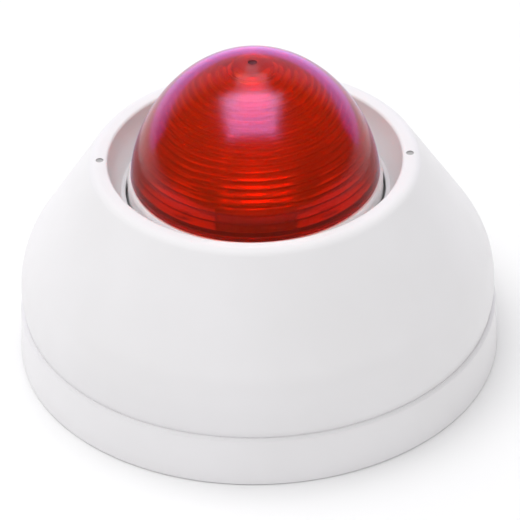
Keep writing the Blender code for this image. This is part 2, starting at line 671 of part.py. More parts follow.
def yoke_shape():
    """The back plate and the pole that the coil moves round, in one piece."""
    outline = [(0, YOKE_LOW), (YOKE_RADIUS - 0.6, YOKE_LOW), (YOKE_RADIUS, YOKE_LOW + 0.6)]
    outline += [(YOKE_RADIUS, YOKE_PLATE_TOP), (POLE_RADIUS, YOKE_PLATE_TOP)]
    return turned(outline + [(POLE_RADIUS, POLE_TOP), (0, POLE_TOP)], MEDIUM)


def speaker_frame_shape():
    """A pressed basket: a flange, a sloping wall with windows and a ring on the top plate."""
    foot = PLATE_TOP + GAP
    outline = [
        (8.0, foot),
        (15.5, foot),
        (23.9, 21.4),
        (23.9, FLANGE_LOW),
        (FLANGE_RADIUS, FLANGE_LOW),
        (FLANGE_RADIUS, FLANGE_TOP),
        (22.9, FLANGE_TOP),
        (22.9, 21.9),
        (15.1, foot + 1.0),
        (8.0, foot + 1.0),
    ]
    frame = turned(outline, MEDIUM)
    holes = [sector(16.5, 22.8, a - 20, a + 20, 13.0, 24.5, 4) for a in range(30, 390, 60)]
    holes += [rod(1.3, 21, 25, polar(SPEAKER_SCREW_AT, a), TINY - 2) for a in SPEAKER_SCREW_DEGS]
    return cut(frame, *holes)


def cone_shape():
    """The moving diaphragm: a centre dome, a neck that takes the coil and a shallow cone."""
    dome_top = arc((0, 11.0), 9.2, 90, 56, 4)
    dome_low = arc((0, 11.0), 8.8, 56, 90, 4)
    outline = [(0, dome_top[0][1])] + dome_top[1:]
    outline += [(CONE_NECK_RADIUS, CONE_LOW + 0.5), (CONE_EDGE_RADIUS, CONE_TOP)]
    outline += [(CONE_EDGE_RADIUS + 0.3, CONE_TOP - 0.4), (CONE_NECK_RADIUS, CONE_LOW)]
    outline += dome_low[:-1] + [(0, dome_low[-1][1])]
    return turned(outline, MEDIUM)


# ---------------------------------------------------------------- control board


def make_board(body, tamper_body):
    board = sector(BOARD_INNER, BOARD_OUTER, *BOARD_DEGS, BOARD_LOW, BOARD_TOP, 18)
    holes = [rod(1.5, BOARD_LOW - 1, BOARD_TOP + 1, polar(r, a), TINY) for a, r in BOARD_POSTS]
    part("control_board", cut(board, *holes), GREEN_BOARD, body)
    for number, (degrees, radius) in enumerate(BOARD_POSTS, 1):
        screw = pan_screw(polar(radius, degrees), ON_BOARD, ON_BOARD + 1.6, 2.3, 3.6, 1.1)
        part(f"board_screw_{number}", screw, STEEL, body)

    make_terminals(body, 252.0, 48.6)
    part("filter_capacitor", standing_can(12.5, 5.0, polar(44.6, 272.5), ON_BOARD), BLACK_PLASTIC, body)
    make_transformer(body, 301.0, 43.0)
    chip = softened(block(9.6, 6.4, ON_BOARD + 0.4, ON_BOARD + 3.8, polar(39.2, 285), 285 + 90), 0.3)
    part("control_chip", chip, BLACK_PLASTIC, body)
    part("driver_transistor", transistor_shape(polar(47.5, 230.5), 230.5), BLACK_PLASTIC, body)
    for name, degrees in (("speaker_connector", 244.5), ("strobe_connector", 255.5)):
        place = polar(38.4, degrees)
        socket = softened(block(5.6, 5.0, ON_BOARD, ON_BOARD + 6.0, place, degrees + 90), 0.3)
        part(name, socket, CREAM_PLASTIC, body)
    make_tamper(body, tamper_body)


def make_terminals(body, degrees, radius):
    """A four-way screw terminal block, its wire mouths facing the rim."""
    pitch, ways = 5.08, 4
    length, depth = pitch * ways, 8.0
    low, high = ON_BOARD, ON_BOARD + 10.0
    middle = polar(radius, degrees)
    along = polar(1.0, degrees + 90)
    outwards = polar(1.0, degrees)
    housing = softened(block(length, depth, low, high, middle, degrees + 90), 0.4)
    tools, screws = [], []
    for i in range(ways):
        place = middle + along * pitch * (i - (ways - 1) / 2)
        tools.append(rod(2.0, high - 3.4, high + 1.0, place, TINY))
        screws.append(pan_screw(place, high - 1.7, high - 0.4, 1.7, high - 3.1, 0.6))
        mouth = place + outwards * depth / 2
        tools.append(block(3.4, 5.0, low + 1.2, low + 4.6, mouth, degrees + 90))
    part("terminal_block", cut(housing, *tools), BLUE_PLASTIC, body)
    for number, screw in enumerate(screws, 1):
        part(f"terminal_screw_{number}", screw, STEEL, body)


def make_transformer(body, degrees, radius):
    """The small inverter transformer that charges the strobe: a winding inside a ferrite frame."""
    place = polar(radius, degrees)
    low = ON_BOARD
    core = block(13.0, 5.6, low + 1.5, low + 13.0, place, degrees + 90)
    window = block(9.8, 8.0, low + 4.0, low + 10.5, place, degrees + 90)
    part("transformer_core", softened(cut(core, window), 0.25), FERRITE, body)
    winding = softened(block(9.0, 9.6, low + 4.4, low + 10.1, place, degrees + 90), 1.0, 2)
    part("transformer_winding", winding, COPPER, body)


def transistor_shape(place, degrees):
    """A power transistor that stands up, with its tab behind it."""
    case = block(10.0, 4.0, ON_BOARD + 2.5, ON_BOARD + 11.0, place, degrees + 90)
    tab = block(9.4, 1.2, ON_BOARD + 3.2, ON_BOARD + 13.5, place + polar(1.8, degrees), degrees + 90)
    legs = [
        block(1.0, 0.8, ON_BOARD, ON_BOARD + 3.0, place + polar(2.6 * i, degrees + 90), degrees + 90)
        for i in (-1, 0, 1)
    ]
    return joined(case, tab, *legs)


def make_tamper(body, tamper_body):
    """The switch that opens when the cover comes off, with its sprung plunger."""
    place = polar(TAMPER_AT, TAMPER_DEG)
    case = softened(block(6.6, 6.6, ON_BOARD, TAMPER_BODY_TOP, place, TAMPER_DEG), 0.35)
    bore = rod(1.55, ON_BOARD + 1.5, TAMPER_BODY_TOP + 1.0, place, TINY)
    part("tamper_switch", cut(case, bore), BLACK_PLASTIC, body)
    plunger = [(0, 11.6), (1.2, 11.6), (1.2, TAMPER_CAP_LOW), (2.7, TAMPER_CAP_LOW)]
    plunger += [(2.7, TAMPER_CAP_TOP - 0.3), (2.4, TAMPER_CAP_TOP), (0, TAMPER_CAP_TOP)]
    part("tamper_plunger", turned(plunger, TINY + 2, (place.x, place.y, 0)), CREAM_PLASTIC, tamper_body)
    part("tamper_spring", spring_shape(place), STEEL, body)


def spring_shape(place):
    """An open coil between the switch and the plunger's cap."""
    coil_radius, wire, turns, steps, sides = 1.95, 0.2, 3, 12, 5
    low, high = TAMPER_BODY_TOP + GAP + wire, TAMPER_CAP_LOW - GAP - wire
    shape = bmesh.new()
    rings = []
    total = turns * steps
    for i in range(total + 1):
        out = polar(1.0, 360.0 * i / steps)
        centre = place + out * coil_radius + Vector((0, 0, low + (high - low) * i / total))
        up = Vector((0, 0, 1))
        ring = []
        for k in range(sides):
            angle = 2 * math.pi * k / sides
            ring.append(shape.verts.new(centre + wire * (math.cos(angle) * out + math.sin(angle) * up)))
        rings.append(ring)
    for low_ring, high_ring in zip(rings, rings[1:]):
        for k in range(sides):
            n = (k + 1) % sides
            shape.faces.new((low_ring[k], low_ring[n], high_ring[n], high_ring[k]))
    shape.faces.new(rings[0])
    shape.faces.new(rings[-1][::-1])
    bmesh.ops.recalc_face_normals(shape, faces=shape.faces)
    return shape


# ---------------------------------------------------------------- inner leads


def smooth_line(points, per_span=2):
    """A Catmull-Rom curve through the points."""
    ends = [points[0] * 2 - points[1]] + points + [points[-1] * 2 - points[-2]]
    line = []
    for a, b, c, d in zip(ends, ends[1:], ends[2:], ends[3:]):
        for i in range(per_span):
            t = i / per_span
            line.append(
                0.5 * (2 * b + (c - a) * t + (2 * a - 5 * b + 4 * c - d) * t**2 + (3 * b - a - 3 * c + d) * t**3)
            )
    return line + [points[-1]]


def lead(name, points, look, body):
    """A wire as a curve, in metres."""
    line = smooth_line(points)
    curve = bpy.data.curves.new(name, "CURVE")
    curve.dimensions = "3D"
    curve.bevel_depth = LEAD_RADIUS * 0.001
    curve.bevel_resolution = 2
    curve.use_fill_caps = True
    spline = curve.splines.new("POLY")
    spline.points.add(len(line) - 1)
    for point, place in zip(spline.points, line):
        point.co = (*(place * 0.001), 1.0)
    made = bpy.data.objects.new(name, curve)
    bpy.context.scene.collection.objects.link(made)
    made.data.materials.append(material(look))
    made.parent = body


def make_leads(body):
    """Two leads to the loudspeaker's tags, and two that climb inside the tower to the strobe."""
    for side, look, colour in ((-1, RED_WIRE, "red"), (1, BLACK_WIRE, "black")):
        at = LEAD_DEG + side * LEAD_SPREAD_DEG
        socket_top = ON_BOARD + 6.0 + GAP
        turn = side * 1.4
        strobe = [
            polar(38.4, 255.5 + turn, socket_top),
            polar(38.0, 255.3 + turn, socket_top + 2.4),
            polar(35.2, 253.0 + turn, socket_top + 1.6),
            polar(32.0, 251.6 + turn, 13.2),
            polar(29.6, at, 15.6),
            polar(29.0, at, 20.0),
            polar(29.0, at, 25.0),
            polar(29.0, at, 30.0),
            polar(28.8, at, 35.5),
            polar(25.4, at, 40.0),
            polar(24.2, at, 43.5),
            polar(23.0, at, STROBE_BOARD_LOW - GAP),
        ]
        lead(f"strobe_lead_{colour}", strobe, look, body)
        speaker = [
            polar(38.4, 244.5 + turn, socket_top),
            polar(38.0, 244.7 + turn, socket_top + 2.0),
            polar(35.4, 246.2 + turn, socket_top - 0.2),
            polar(32.2, 247.2 + turn, 11.6),
            polar(28.0, 247.6 + turn, 11.0),
            polar(24.0, 248.0 + turn * 2, 12.0),
            polar(21.6, 248.0 + turn * 2.4, 14.2),
        ]
        lead(f"speaker_lead_{colour}", speaker, look, body)


# ---------------------------------------------------------------- assembly


def main():
    for left_over in list(bpy.data.objects):
        bpy.data.objects.remove(left_over)
    base_body = body_empty("base_body", (0, 0, 0))
    cover_body = body_empty("cover_body", (0, 0, SEAM_Z))
    cone_body = body_empty("cone_body", (0, 0, FLANGE_TOP))
    tamper_body = body_empty("tamper_body", polar(TAMPER_AT, TAMPER_DEG, TAMPER_BODY_TOP))
    make_base(base_body)
    part("cover", cover_shape(), WHITE_PLASTIC, cover_body)
    make_tower(base_body)
    make_strobe(base_body)
    make_speaker(base_body, cone_body)
    make_board(base_body, tamper_body)
    make_leads(base_body)


main()
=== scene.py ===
"""The looks of a wall-mounted alarm siren with a red strobe beacon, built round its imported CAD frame.

Every piece that can be seen is made again here with fine, rounded shapes and stands for its CAD node.
Sizes are in millimetres and come from the CAD nodes' boxes where a box says them. piece() turns each
shape into metres as it finishes it.
"""

import math

import bmesh
import bpy
from mathutils import Matrix, Vector


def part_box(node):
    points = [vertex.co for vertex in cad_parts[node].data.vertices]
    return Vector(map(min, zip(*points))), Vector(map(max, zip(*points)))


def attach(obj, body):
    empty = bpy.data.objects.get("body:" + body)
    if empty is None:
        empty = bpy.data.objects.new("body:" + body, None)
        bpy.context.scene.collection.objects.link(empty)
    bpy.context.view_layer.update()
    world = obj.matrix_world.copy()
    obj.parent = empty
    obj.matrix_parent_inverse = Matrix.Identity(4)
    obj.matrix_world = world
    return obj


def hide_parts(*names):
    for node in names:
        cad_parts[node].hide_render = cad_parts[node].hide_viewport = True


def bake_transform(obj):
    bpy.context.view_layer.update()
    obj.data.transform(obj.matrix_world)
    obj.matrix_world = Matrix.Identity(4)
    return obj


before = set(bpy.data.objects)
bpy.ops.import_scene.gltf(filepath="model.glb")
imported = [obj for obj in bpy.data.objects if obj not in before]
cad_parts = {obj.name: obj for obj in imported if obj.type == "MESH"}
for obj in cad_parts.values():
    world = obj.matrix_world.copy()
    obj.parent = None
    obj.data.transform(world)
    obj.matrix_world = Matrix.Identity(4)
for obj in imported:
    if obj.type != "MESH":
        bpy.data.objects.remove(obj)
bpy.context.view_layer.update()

MM = 0.001

# ---- places and sizes from the frame


def low(node):
    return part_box(node)[0] / MM


def high(node):
    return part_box(node)[1] / MM


def middle(node):
    return (low(node) + high(node)) / 2


def spot(node):
    """The middle of the node, seen from above."""
    return middle(node).xy


def span(node):
    """The heights of the node's foot and top."""
    return low(node).z, high(node).z


def bearing(node):
    """The node's angle round the siren's axis, in degrees."""
    place = middle(node)
    return math.degrees(math.atan2(place.y, place.x))


VERY_FINE, FINE, MEDIUM, COARSE, TINY = 192, 128, 72, 40, 24  # segments round a circle

BASE_RADIUS = high("base").x
SEAM_Z, SEAM_GAP = 13.0, 0.02
BASE_TOP_RADIUS = BASE_RADIUS - 0.5
FLOOR = 2.4
TONGUE_TOP = high("base").z
TONGUE_INNER, TONGUE_OUTER = 56.2, 57.4

RIM_Z = high("cover").z
COVER_RADIUS = 59.1
BULGE_Z, BULGE_ARC, CONE_DEG = 18.5, 21.0, 32.5
RIM_FILLET, SHELL = 3.0, 2.2
WELL_TOP_RADIUS, WELL_LOW_RADIUS, WELL_HOLE_RADIUS = 36.0, 33.2, 32.0
WELL_Z, WELL_WALL, CAVITY_ROOF_Z = 46.0, 2.0, 50.6
GATE_RADIUS, GATE_DEPTH, GATE_AT = 0.95, 0.3, 38.0

LENS_RADIUS = high("lens").x
LENS_TOP_Z = high("lens").z
LENS_FOOT_Z, DOME_START_Z = 50.4, 49.5
LENS_POWER = 1.71
RING_PITCH, RING_PITCH_FALL, RING_STEP = 2.44, 1.56, 0.3
RING_THIN, RING_THICK, WIDEST_RING = 1.5, 2.35, 2.2
SPIGOT_OUTER, SPIGOT_LOW_Z = 28.3, low("lens").z
BEAD_RADIUS, BEAD_LOW, BEAD_TOP = 28.75, 48.2, 48.9


def screws(kind, count=3):
    return [f"{kind}_screw_{n + 1}" for n in range(count)]


COVER_SCREWS, TOWER_SCREWS, SPEAKER_SCREWS = screws("cover"), screws("tower"), screws("speaker")
STROBE_SCREWS, BOARD_SCREWS, TERMINAL_SCREWS = screws("strobe"), screws("board"), screws("terminal", 4)
HEAD_HEIGHTS = {"cover": 2.3, "tower": 1.5, "speaker": 1.3, "strobe": 1.4, "board": 1.6}
DRIVEN_FROM_BELOW = ("cover", "tower", "speaker")

BOARD_INNER, BOARD_OUTER, BOARD_DEGS = 35.0, 55.0, (219.0, 321.0)
LEAD_DEG, LEAD_SPREAD_DEG, LEAD_RADIUS = 250.0, 1.8, 0.5

# ---- materials


class Look:
    """One material being put together: a Principled shader with noise for colour, gloss and relief."""

    def __init__(self, name, colour, roughness, metallic=0.0):
        self.material = bpy.data.materials.new(name)
        self.material.use_nodes = True
        self.tree = self.material.node_tree
        self.shader = self.tree.nodes["Principled BSDF"]
        self.set(Metallic=metallic, Roughness=roughness, Base_Color=(*colour, 1.0))
        self.colour = colour
        self.place = self.node("TexCoord").outputs["Object"]
        self.normal = None

    def set(self, **values):
        return self.fill(self.shader, values)

    def fill(self, node, values):
        """Put values, or other nodes' outputs, into a node's inputs."""
        for name, value in values.items():
            socket = node.inputs[name.replace("_", " ")]
            if isinstance(value, bpy.types.NodeSocket):
                self.tree.links.new(value, socket)
            else:
                socket.default_value = value
        return self

    def node(self, kind, **values):
        made = self.tree.nodes.new(f"ShaderNode{kind}")
        self.fill(made, values)
        return made

    def noise(self, scale, detail):
        """Noise in the object's own coordinates; scale is in bumps to the metre."""
        return self.node("TexNoise", Scale=scale, Detail=detail, Vector=self.place).outputs["Fac"]

    def mottled(self, scale, other):
        """Colour that drifts between the base colour and another one."""
        ramp = self.node("ValToRGB", Fac=self.noise(scale, 3.0))
        for end, position, colour in zip(ramp.color_ramp.elements, (0.35, 0.65), (self.colour, other)):
            end.position, end.color = position, (*colour, 1.0)
        return self.set(Base_Color=ramp.outputs["Color"])

    def uneven_gloss(self, scale, smooth, dull):
        noise = self.noise(scale, 4.0)
        spread = self.node("MapRange", From_Min=0.3, From_Max=0.7, To_Min=smooth, To_Max=dull, Value=noise)
        return self.set(Roughness=spread.outputs["Result"])

    def bump(self, height, depth_mm):
        """A bump of this depth on top of the relief already added."""
        bump = self.node("Bump", Distance=depth_mm * MM, Height=height)
        if self.normal:
            self.tree.links.new(self.normal, bump.inputs["Normal"])
        self.normal = bump.outputs["Normal"]
        return self.set(Normal=self.normal)

    def relief(self, scale, depth_mm):
        return self.bump(self.noise(scale, 2.0), depth_mm)


WHITE = (0.83, 0.82, 0.835)
WHITE_WARM = (0.80, 0.79, 0.80)


def white_plastic():
    look = Look("white_moulded_plastic", WHITE, 0.32).set(IOR=1.46, Coat_Weight=0.15, Coat_Roughness=0.18)
    return look.mottled(26.0, WHITE_WARM).uneven_gloss(160.0, 0.28, 0.38).relief(900.0, 0.006).material


def darkened_dimple(name, colour, other):
    """A runner's cut-off dimple, rough, with its faces painted darker; on the cover this grey is painted
    shade.
    """
    look = Look(name, colour, 0.5).set(Specular_IOR_Level=0.12)
    return look.mottled(900.0, other).uneven_gloss(700.0, 0.4, 0.6).material


def red_lens():
    """Red polycarbonate, clear with a little milkiness, with a polished face that shines a cool pink."""
    look = Look("red_lens_plastic", (0.58, 0.047, 0.002), 0.15)
    look.set(IOR=1.5, Transmission_Weight=0.8, Specular_Tint=(0.105, 0.072, 0.22, 1.0))
    look.set(Sheen_Weight=0.3, Sheen_Roughness=0.2, Sheen_Tint=(0.25, 0.1, 1.0, 1.0))
    look.mottled(60.0, (0.55, 0.042, 0.0015))
    return look.uneven_gloss(120.0, 0.14, 0.17).material


def black_rubber():
    look = Look("black_rubber", (0.022, 0.022, 0.023), 0.7).mottled(300.0, (0.035, 0.034, 0.034))
    return look.uneven_gloss(500.0, 0.6, 0.85).relief(1800.0, 0.03).material


def metal(name, colour, other, smooth, dull):
    look = Look(name, colour, smooth, 1.0).mottled(220.0, other)
    return look.uneven_gloss(900.0, smooth, dull).relief(2600.0, 0.01).material


def satin(name, colour, other, smooth=0.32, dull=0.5, grain=0.02):
    """Moulded plastic with a fine spark-eroded grain."""
    look = Look(name, colour, smooth)
    return look.mottled(140.0, other).uneven_gloss(600.0, smooth, dull).relief(3200.0, grain).material


def board_mask(name, colour, other, over_tracks):
    """Solder mask: raised tracks under it, and a slight drift in its colour."""
    look = Look(name, colour, 0.3).set(Coat_Weight=0.4, Coat_Roughness=0.12)
    colours = {"Color1": (*colour, 1.0), "Color2": (*other, 1.0), "Mortar": (*over_tracks, 1.0)}
    brick = look.node("TexBrick", Scale=260.0, Mortar_Size=0.035, Vector=look.place, **colours)
    look.set(Base_Color=brick.outputs["Color"]).bump(brick.outputs["Fac"], 0.04)
    return look.uneven_gloss(400.0, 0.25, 0.4).relief(1500.0, 0.01).material


def glass():
    look = Look("clear_quartz_glass", (0.95, 0.97, 0.98), 0.02).set(IOR=1.46, Transmission_Weight=1.0)
    return look.mottled(90.0, (0.92, 0.95, 0.97)).uneven_gloss(200.0, 0.01, 0.04).material


def film():
    """The amber polyester film that the cone and its surround are pressed from."""
    look = Look("amber_film", (0.42, 0.30, 0.13), 0.2).set(IOR=1.6, Transmission_Weight=0.35)
    return look.mottled(80.0, (0.36, 0.25, 0.10)).uneven_gloss(300.0, 0.14, 0.28).relief(700.0, 0.02).material


def wound(name, colour, other, turns_per_metre):
    """Enamelled wire laid in turns up the object."""
    look = Look(name, colour, 0.28, 0.85)
    wave = look.node("TexWave", Scale=turns_per_metre, Vector=look.place)
    wave.bands_direction = "Z"
    look.bump(wave.outputs["Fac"], 0.12)
    return look.mottled(500.0, other).uneven_gloss(400.0, 0.22, 0.36).relief(1500.0, 0.01).material


LOOKS = {
    "white": white_plastic(),
    # painted shade: this grey stands for the shade inside the cover's gate dimples
    "gate": darkened_dimple("gate_dimple_painted_shade_grey", (0.50, 0.49, 0.50), (0.43, 0.425, 0.43)),
    # a much darker red painted into the lens's apex dimple
    "red_gate": darkened_dimple("gate_dimple_dark_red", (0.09, 0.006, 0.012), (0.06, 0.004, 0.008)),
    "red": red_lens(),
    "rubber": black_rubber(),
    "steel": metal("nickelled_steel", (0.60, 0.60, 0.61), (0.50, 0.50, 0.52), 0.2, 0.36),
    "zinc": metal("zinc_plate", (0.66, 0.64, 0.56), (0.52, 0.52, 0.50), 0.26, 0.42),
    "aluminium": metal("can_aluminium", (0.78, 0.78, 0.79), (0.68, 0.68, 0.70), 0.22, 0.36),
    "solder": metal("tin_solder", (0.70, 0.70, 0.71), (0.58, 0.58, 0.60), 0.16, 0.34),
    "mirror": metal("vacuum_mirror", (0.42, 0.42, 0.43), (0.36, 0.36, 0.37), 0.12, 0.2),
    "copper": wound("copper_winding", (0.72, 0.30, 0.12), (0.55, 0.20, 0.08), 900.0),
    "ferrite": satin("sintered_ferrite", (0.05, 0.05, 0.055), (0.09, 0.09, 0.095), 0.5, 0.75, 0.05),
    "black": satin("black_moulding", (0.03, 0.03, 0.033), (0.045, 0.045, 0.048)),
    "sleeve": satin("capacitor_sleeve", (0.09, 0.085, 0.09), (0.11, 0.105, 0.11), 0.22, 0.34, 0.006),
    "blue": satin("blue_moulding", (0.02, 0.13, 0.42), (0.03, 0.17, 0.50)),
    "cream": satin("cream_moulding", (0.76, 0.71, 0.58), (0.70, 0.65, 0.52)),
    "red_wire": satin("red_insulation", (0.55, 0.02, 0.015), (0.45, 0.015, 0.012), 0.25, 0.4, 0.008),
    "black_wire": satin("black_insulation", (0.02, 0.02, 0.022), (0.035, 0.035, 0.037), 0.25, 0.4, 0.008),
    "foam": satin("closed_foam", (0.07, 0.07, 0.075), (0.11, 0.11, 0.115), 0.8, 0.95, 0.2),
    "board": board_mask("green_solder_mask", (0.012, 0.125, 0.05), (0.014, 0.15, 0.058), (0.05, 0.26, 0.1)),
    "white_board": board_mask("white_solder_mask", (0.78, 0.78, 0.76), (0.75, 0.75, 0.73), (0.66, 0.66, 0.63)),
    "glass": glass(),
    "film": film(),
}

# The record's material slot of each look that isn't named after it
SLOTS = {"white": "white_plastic", "red": "red_lens", "rubber": "black_rubber", "black": "black_plastic"}
SLOTS |= {"blue": "blue_plastic", "cream": "cream_plastic", "sleeve": "black_plastic", "board": "green_board"}
SLOTS |= {"aluminium": "steel", "solder": "steel", "mirror": "mirror_plate", "glass": "clear_glass"}
SLOTS["film"] = "amber_film"

# ---- outlines and shapes


def polar(radius, degrees, z=0.0):
    angle = math.radians(degrees)
    return Vector((radius * math.cos(angle), radius * math.sin(angle), z))


def arc(centre, radius, start_deg, end_deg, steps):
    """Points of a circular arc in the plane of an outline."""
    points = []
    for i in range(steps + 1):
        angle = math.radians(start_deg + (end_deg - start_deg) * i / steps)
        points.append((centre[0] + radius * math.cos(angle), centre[1] + radius * math.sin(angle)))
    return points


def rounded(outline, radius, steps=3):
    """A closed outline with its corners rounded. Corners on the axis are kept."""
    result = []
    count = len(outline)
    for i, corner in enumerate(outline):
        here = Vector(corner)
        back, ahead = Vector(outline[i - 1]) - here, Vector(outline[(i + 1) % count]) - here
        kept = min(abs(here.x), back.length, ahead.length) < 1e-6
        if kept or back.angle(ahead) > math.radians(155):
            result.append(corner)
            continue
        reach = min(radius / math.tan(back.angle(ahead) / 2), 0.42 * back.length, 0.42 * ahead.length)
        start, end = here + back.normalized() * reach, here + ahead.normalized() * reach
        for step in range(steps + 1):
            t = step / steps
            result.append(tuple(start * (1 - t) ** 2 + here * 2 * t * (1 - t) + end * t**2))
    return result


def turned(outline, segments=FINE, at=(0.0, 0.0)):
    """A closed outline of (radius, z) points turned round the vertical line through at."""
    shape = bmesh.new()
    columns = []
    for radius, z in outline:
        if radius < 1e-6:
            columns.append([shape.verts.new((at[0], at[1], z))])
            continue
        column = []
        for i in range(segments):
            place = polar(radius, 360.0 * i / segments, z)
            column.append(shape.verts.new((place.x + at[0], place.y + at[1], z)))
        columns.append(column)
    for first, second in zip(columns, columns[1:] + columns[:1]):
        if len(first) == 1 and len(second) == 1:
            continue
        for i in range(segments):
            j = (i + 1) % segments
            corners = [first[i % len(first)], first[j % len(first)]]
            corners += [second[j % len(second)], second[i % len(second)]]
            shape.faces.new([v for n, v in enumerate(corners) if v not in corners[:n]])
    bmesh.ops.recalc_face_normals(shape, faces=shape.faces)
    return shape


def rod(radius, low_z, high_z, at=(0.0, 0.0), segments=TINY, soft=0.0):
    outline = [(0, low_z), (radius, low_z), (radius, high_z), (0, high_z)]
    return turned(rounded(outline, soft) if soft else outline, segments, at)


def drills(radius, low_z, high_z, places, segments=TINY):
    """Rods at several places, or at several nodes."""
    places = [spot(place) if isinstance(place, str) else place for place in places]
    return [rod(radius, low_z, high_z, place, segments) for place in places]


def tube(inner, outer, low_z, high_z, segments, soft):
    outline = [(inner, low_z), (outer, low_z), (outer, high_z), (inner, high_z)]
    return turned(rounded(outline, soft), segments)


def prism(outline, low_z, high_z):
    """A flat outline of (x, y) points, raised from low_z to high_z."""
    shape = bmesh.new()
    bottom = [shape.verts.new((x, y, low_z)) for x, y in outline]
    top = [shape.verts.new((x, y, high_z)) for x, y in outline]
    shape.faces.new(bottom[::-1])
    shape.faces.new(top)
    for i in range(len(outline)):
        j = (i + 1) % len(outline)
        shape.faces.new((bottom[i], bottom[j], top[j], top[i]))
    bmesh.ops.recalc_face_normals(shape, faces=shape.faces)
    return shape


def turning(degrees, axis="Z"):
    return Matrix.Rotation(math.radians(degrees), 4, axis)


def block(length, width, low_z, high_z, at=(0.0, 0.0), turn_deg=0.0, soft=0.0):
    """A box, its length along x before it is turned about the vertical."""
    half_l, half_w = length / 2, width / 2
    corners = [(-half_l, -half_w), (half_l, -half_w), (half_l, half_w), (-half_l, half_w)]
    shape = prism(corners, low_z, high_z)
    if soft:
        softened(shape, soft)
    place = Matrix.Translation((at[0], at[1], 0)) @ turning(turn_deg)
    bmesh.ops.transform(shape, matrix=place, verts=shape.verts)
    return shape


def sector(inner, outer, start_deg, end_deg, low_z, high_z, steps=24):
    """A piece of a ring between two angles."""
    angles = [start_deg + (end_deg - start_deg) * i / steps for i in range(steps + 1)]
    outline = [tuple(polar(outer, a).xy) for a in angles]
    outline += [tuple(polar(inner, a).xy) for a in reversed(angles)]
    return prism(outline, low_z, high_z)


def softened(shape, width, steps=2):
    """The shape with its sharp edges rounded."""
    limit = math.radians(40)
    edges = [e for e in shape.edges if e.is_manifold and e.calc_face_angle() > limit]
    bmesh.ops.bevel(
        shape, geom=edges, offset=width, segments=steps, profile=0.5, affect="EDGES", clamp_overlap=True
    )
    return shape


def together(*shapes):
    """Several shapes as one mesh, to cut or join them in one step."""
    whole = bmesh.new()
    for shape in shapes:
        holder = bpy.data.meshes.new("holder")
        shape.to_mesh(holder)
        whole.from_mesh(holder)
        shape.free()
        bpy.data.meshes.remove(holder)
    return whole


def object_of(name, shape):
    mesh = bpy.data.meshes.new(name)
    shape.to_mesh(mesh)
    shape.free()
    made = bpy.data.objects.new(name, mesh)
    bpy.context.scene.collection.objects.link(made)
    return made


def combined(first, second, operation):
    """The Boolean of two shapes, as a new shape. Both are used up."""
    target, tool = object_of("target", first), object_of("tool", second)
    modifier = target.modifiers.new("Boolean", "BOOLEAN")
    modifier.object = tool
    modifier.operation = operation
    modifier.solver = "EXACT"
    bpy.context.view_layer.update()
    result = bmesh.new()
    result.from_object(target, bpy.context.evaluated_depsgraph_get())
    for used in (target, tool):
        bpy.data.objects.remove(used)
    return result


def cut(shape, *tools):
    return combined(shape, together(*tools), "DIFFERENCE")


def joined(shape, *more):
    return combined(shape, together(*more), "UNION")


def trimmed(shape, keep):
    return combined(shape, keep, "INTERSECT")


# ---- pieces


def piece(name, shape, look, node=None, slot=None, body="base_unit", smooth_deg=32.0, soft=0.0):
    """A finished piece: in metres, riding on its body and standing for its CAD node."""
    bmesh.ops.transform(shape, matrix=Matrix.Scale(MM, 4), verts=shape.verts)
    made = object_of(name, shape)
    made.data.materials.append(LOOKS[look])
    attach(made, body)
    if node:
        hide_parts(node)
    made.data.shade_smooth()
    made.data.set_sharp_from_angle(angle=math.radians(smooth_deg))
    if soft:
        edge = made.modifiers.new("Bevel", "BEVEL")
        edge.width = soft * MM
        edge.segments = 2
        edge.limit_method = "ANGLE"
        edge.angle_limit = math.radians(40)
        edge.harden_normals = True
    return made


def stand_in(node, shape, look, **more):
    """The finished piece that is seen in place of this CAD node."""
    return piece(f"{node}_fine", shape, look, node, **more)


def repaint(made, look, chosen):
    """Give another look to the faces whose middles, in millimetres, are chosen."""
    made.data.materials.append(LOOKS[look])
    for face in made.data.polygons:
        if chosen(face.center / MM):
            face.material_index = 1


def pan_screw(at, head_low, head_high, head_radius, tip, shank_radius):
    """A cross-headed screw with a thread. Its tip is above its head where the tip is higher."""
    up = 1 if tip > head_high else -1
    seat, crown = (head_high, head_low) if up > 0 else (head_low, head_high)
    height = head_high - head_low
    outline = [(0, crown), (head_radius * 0.55, crown), (head_radius * 0.88, crown + up * height * 0.28)]
    outline += [(head_radius, crown + up * height * 0.62), (head_radius, seat), (shank_radius, seat)]
    pitch = shank_radius * 0.62
    z = seat + up * 0.3
    while up * (tip - up * 1.3 - z) > pitch:
        outline += [(shank_radius, z), (shank_radius * 0.78, z + up * pitch * 0.5)]
        z += up * pitch
    outline += [(shank_radius * 0.8, tip - up * 1.2), (shank_radius * 0.25, tip), (0, tip)]
    screw = turned(outline, COARSE, at)
    depth = height * 0.62
    long, wide = head_radius * 1.2, head_radius * 0.3
    start, end = sorted((crown - up * 1.0, crown + up * depth))
    cross = joined(block(long, wide, start, end, at), block(wide, long, start, end, at))
    return cut(screw, cross)


def make_screws(names, head_radius, shank_radius, look):
    for name in names:
        kind, place, (bottom, top) = name.split("_")[0], spot(name), span(name)
        head = HEAD_HEIGHTS[kind]
        if kind in DRIVEN_FROM_BELOW:
            screw = pan_screw(place, bottom, bottom + head, head_radius, top, shank_radius)
        else:
            screw = pan_screw(place, top - head, top, head_radius, bottom, shank_radius)
        stand_in(name, screw, look)


# ---- cover


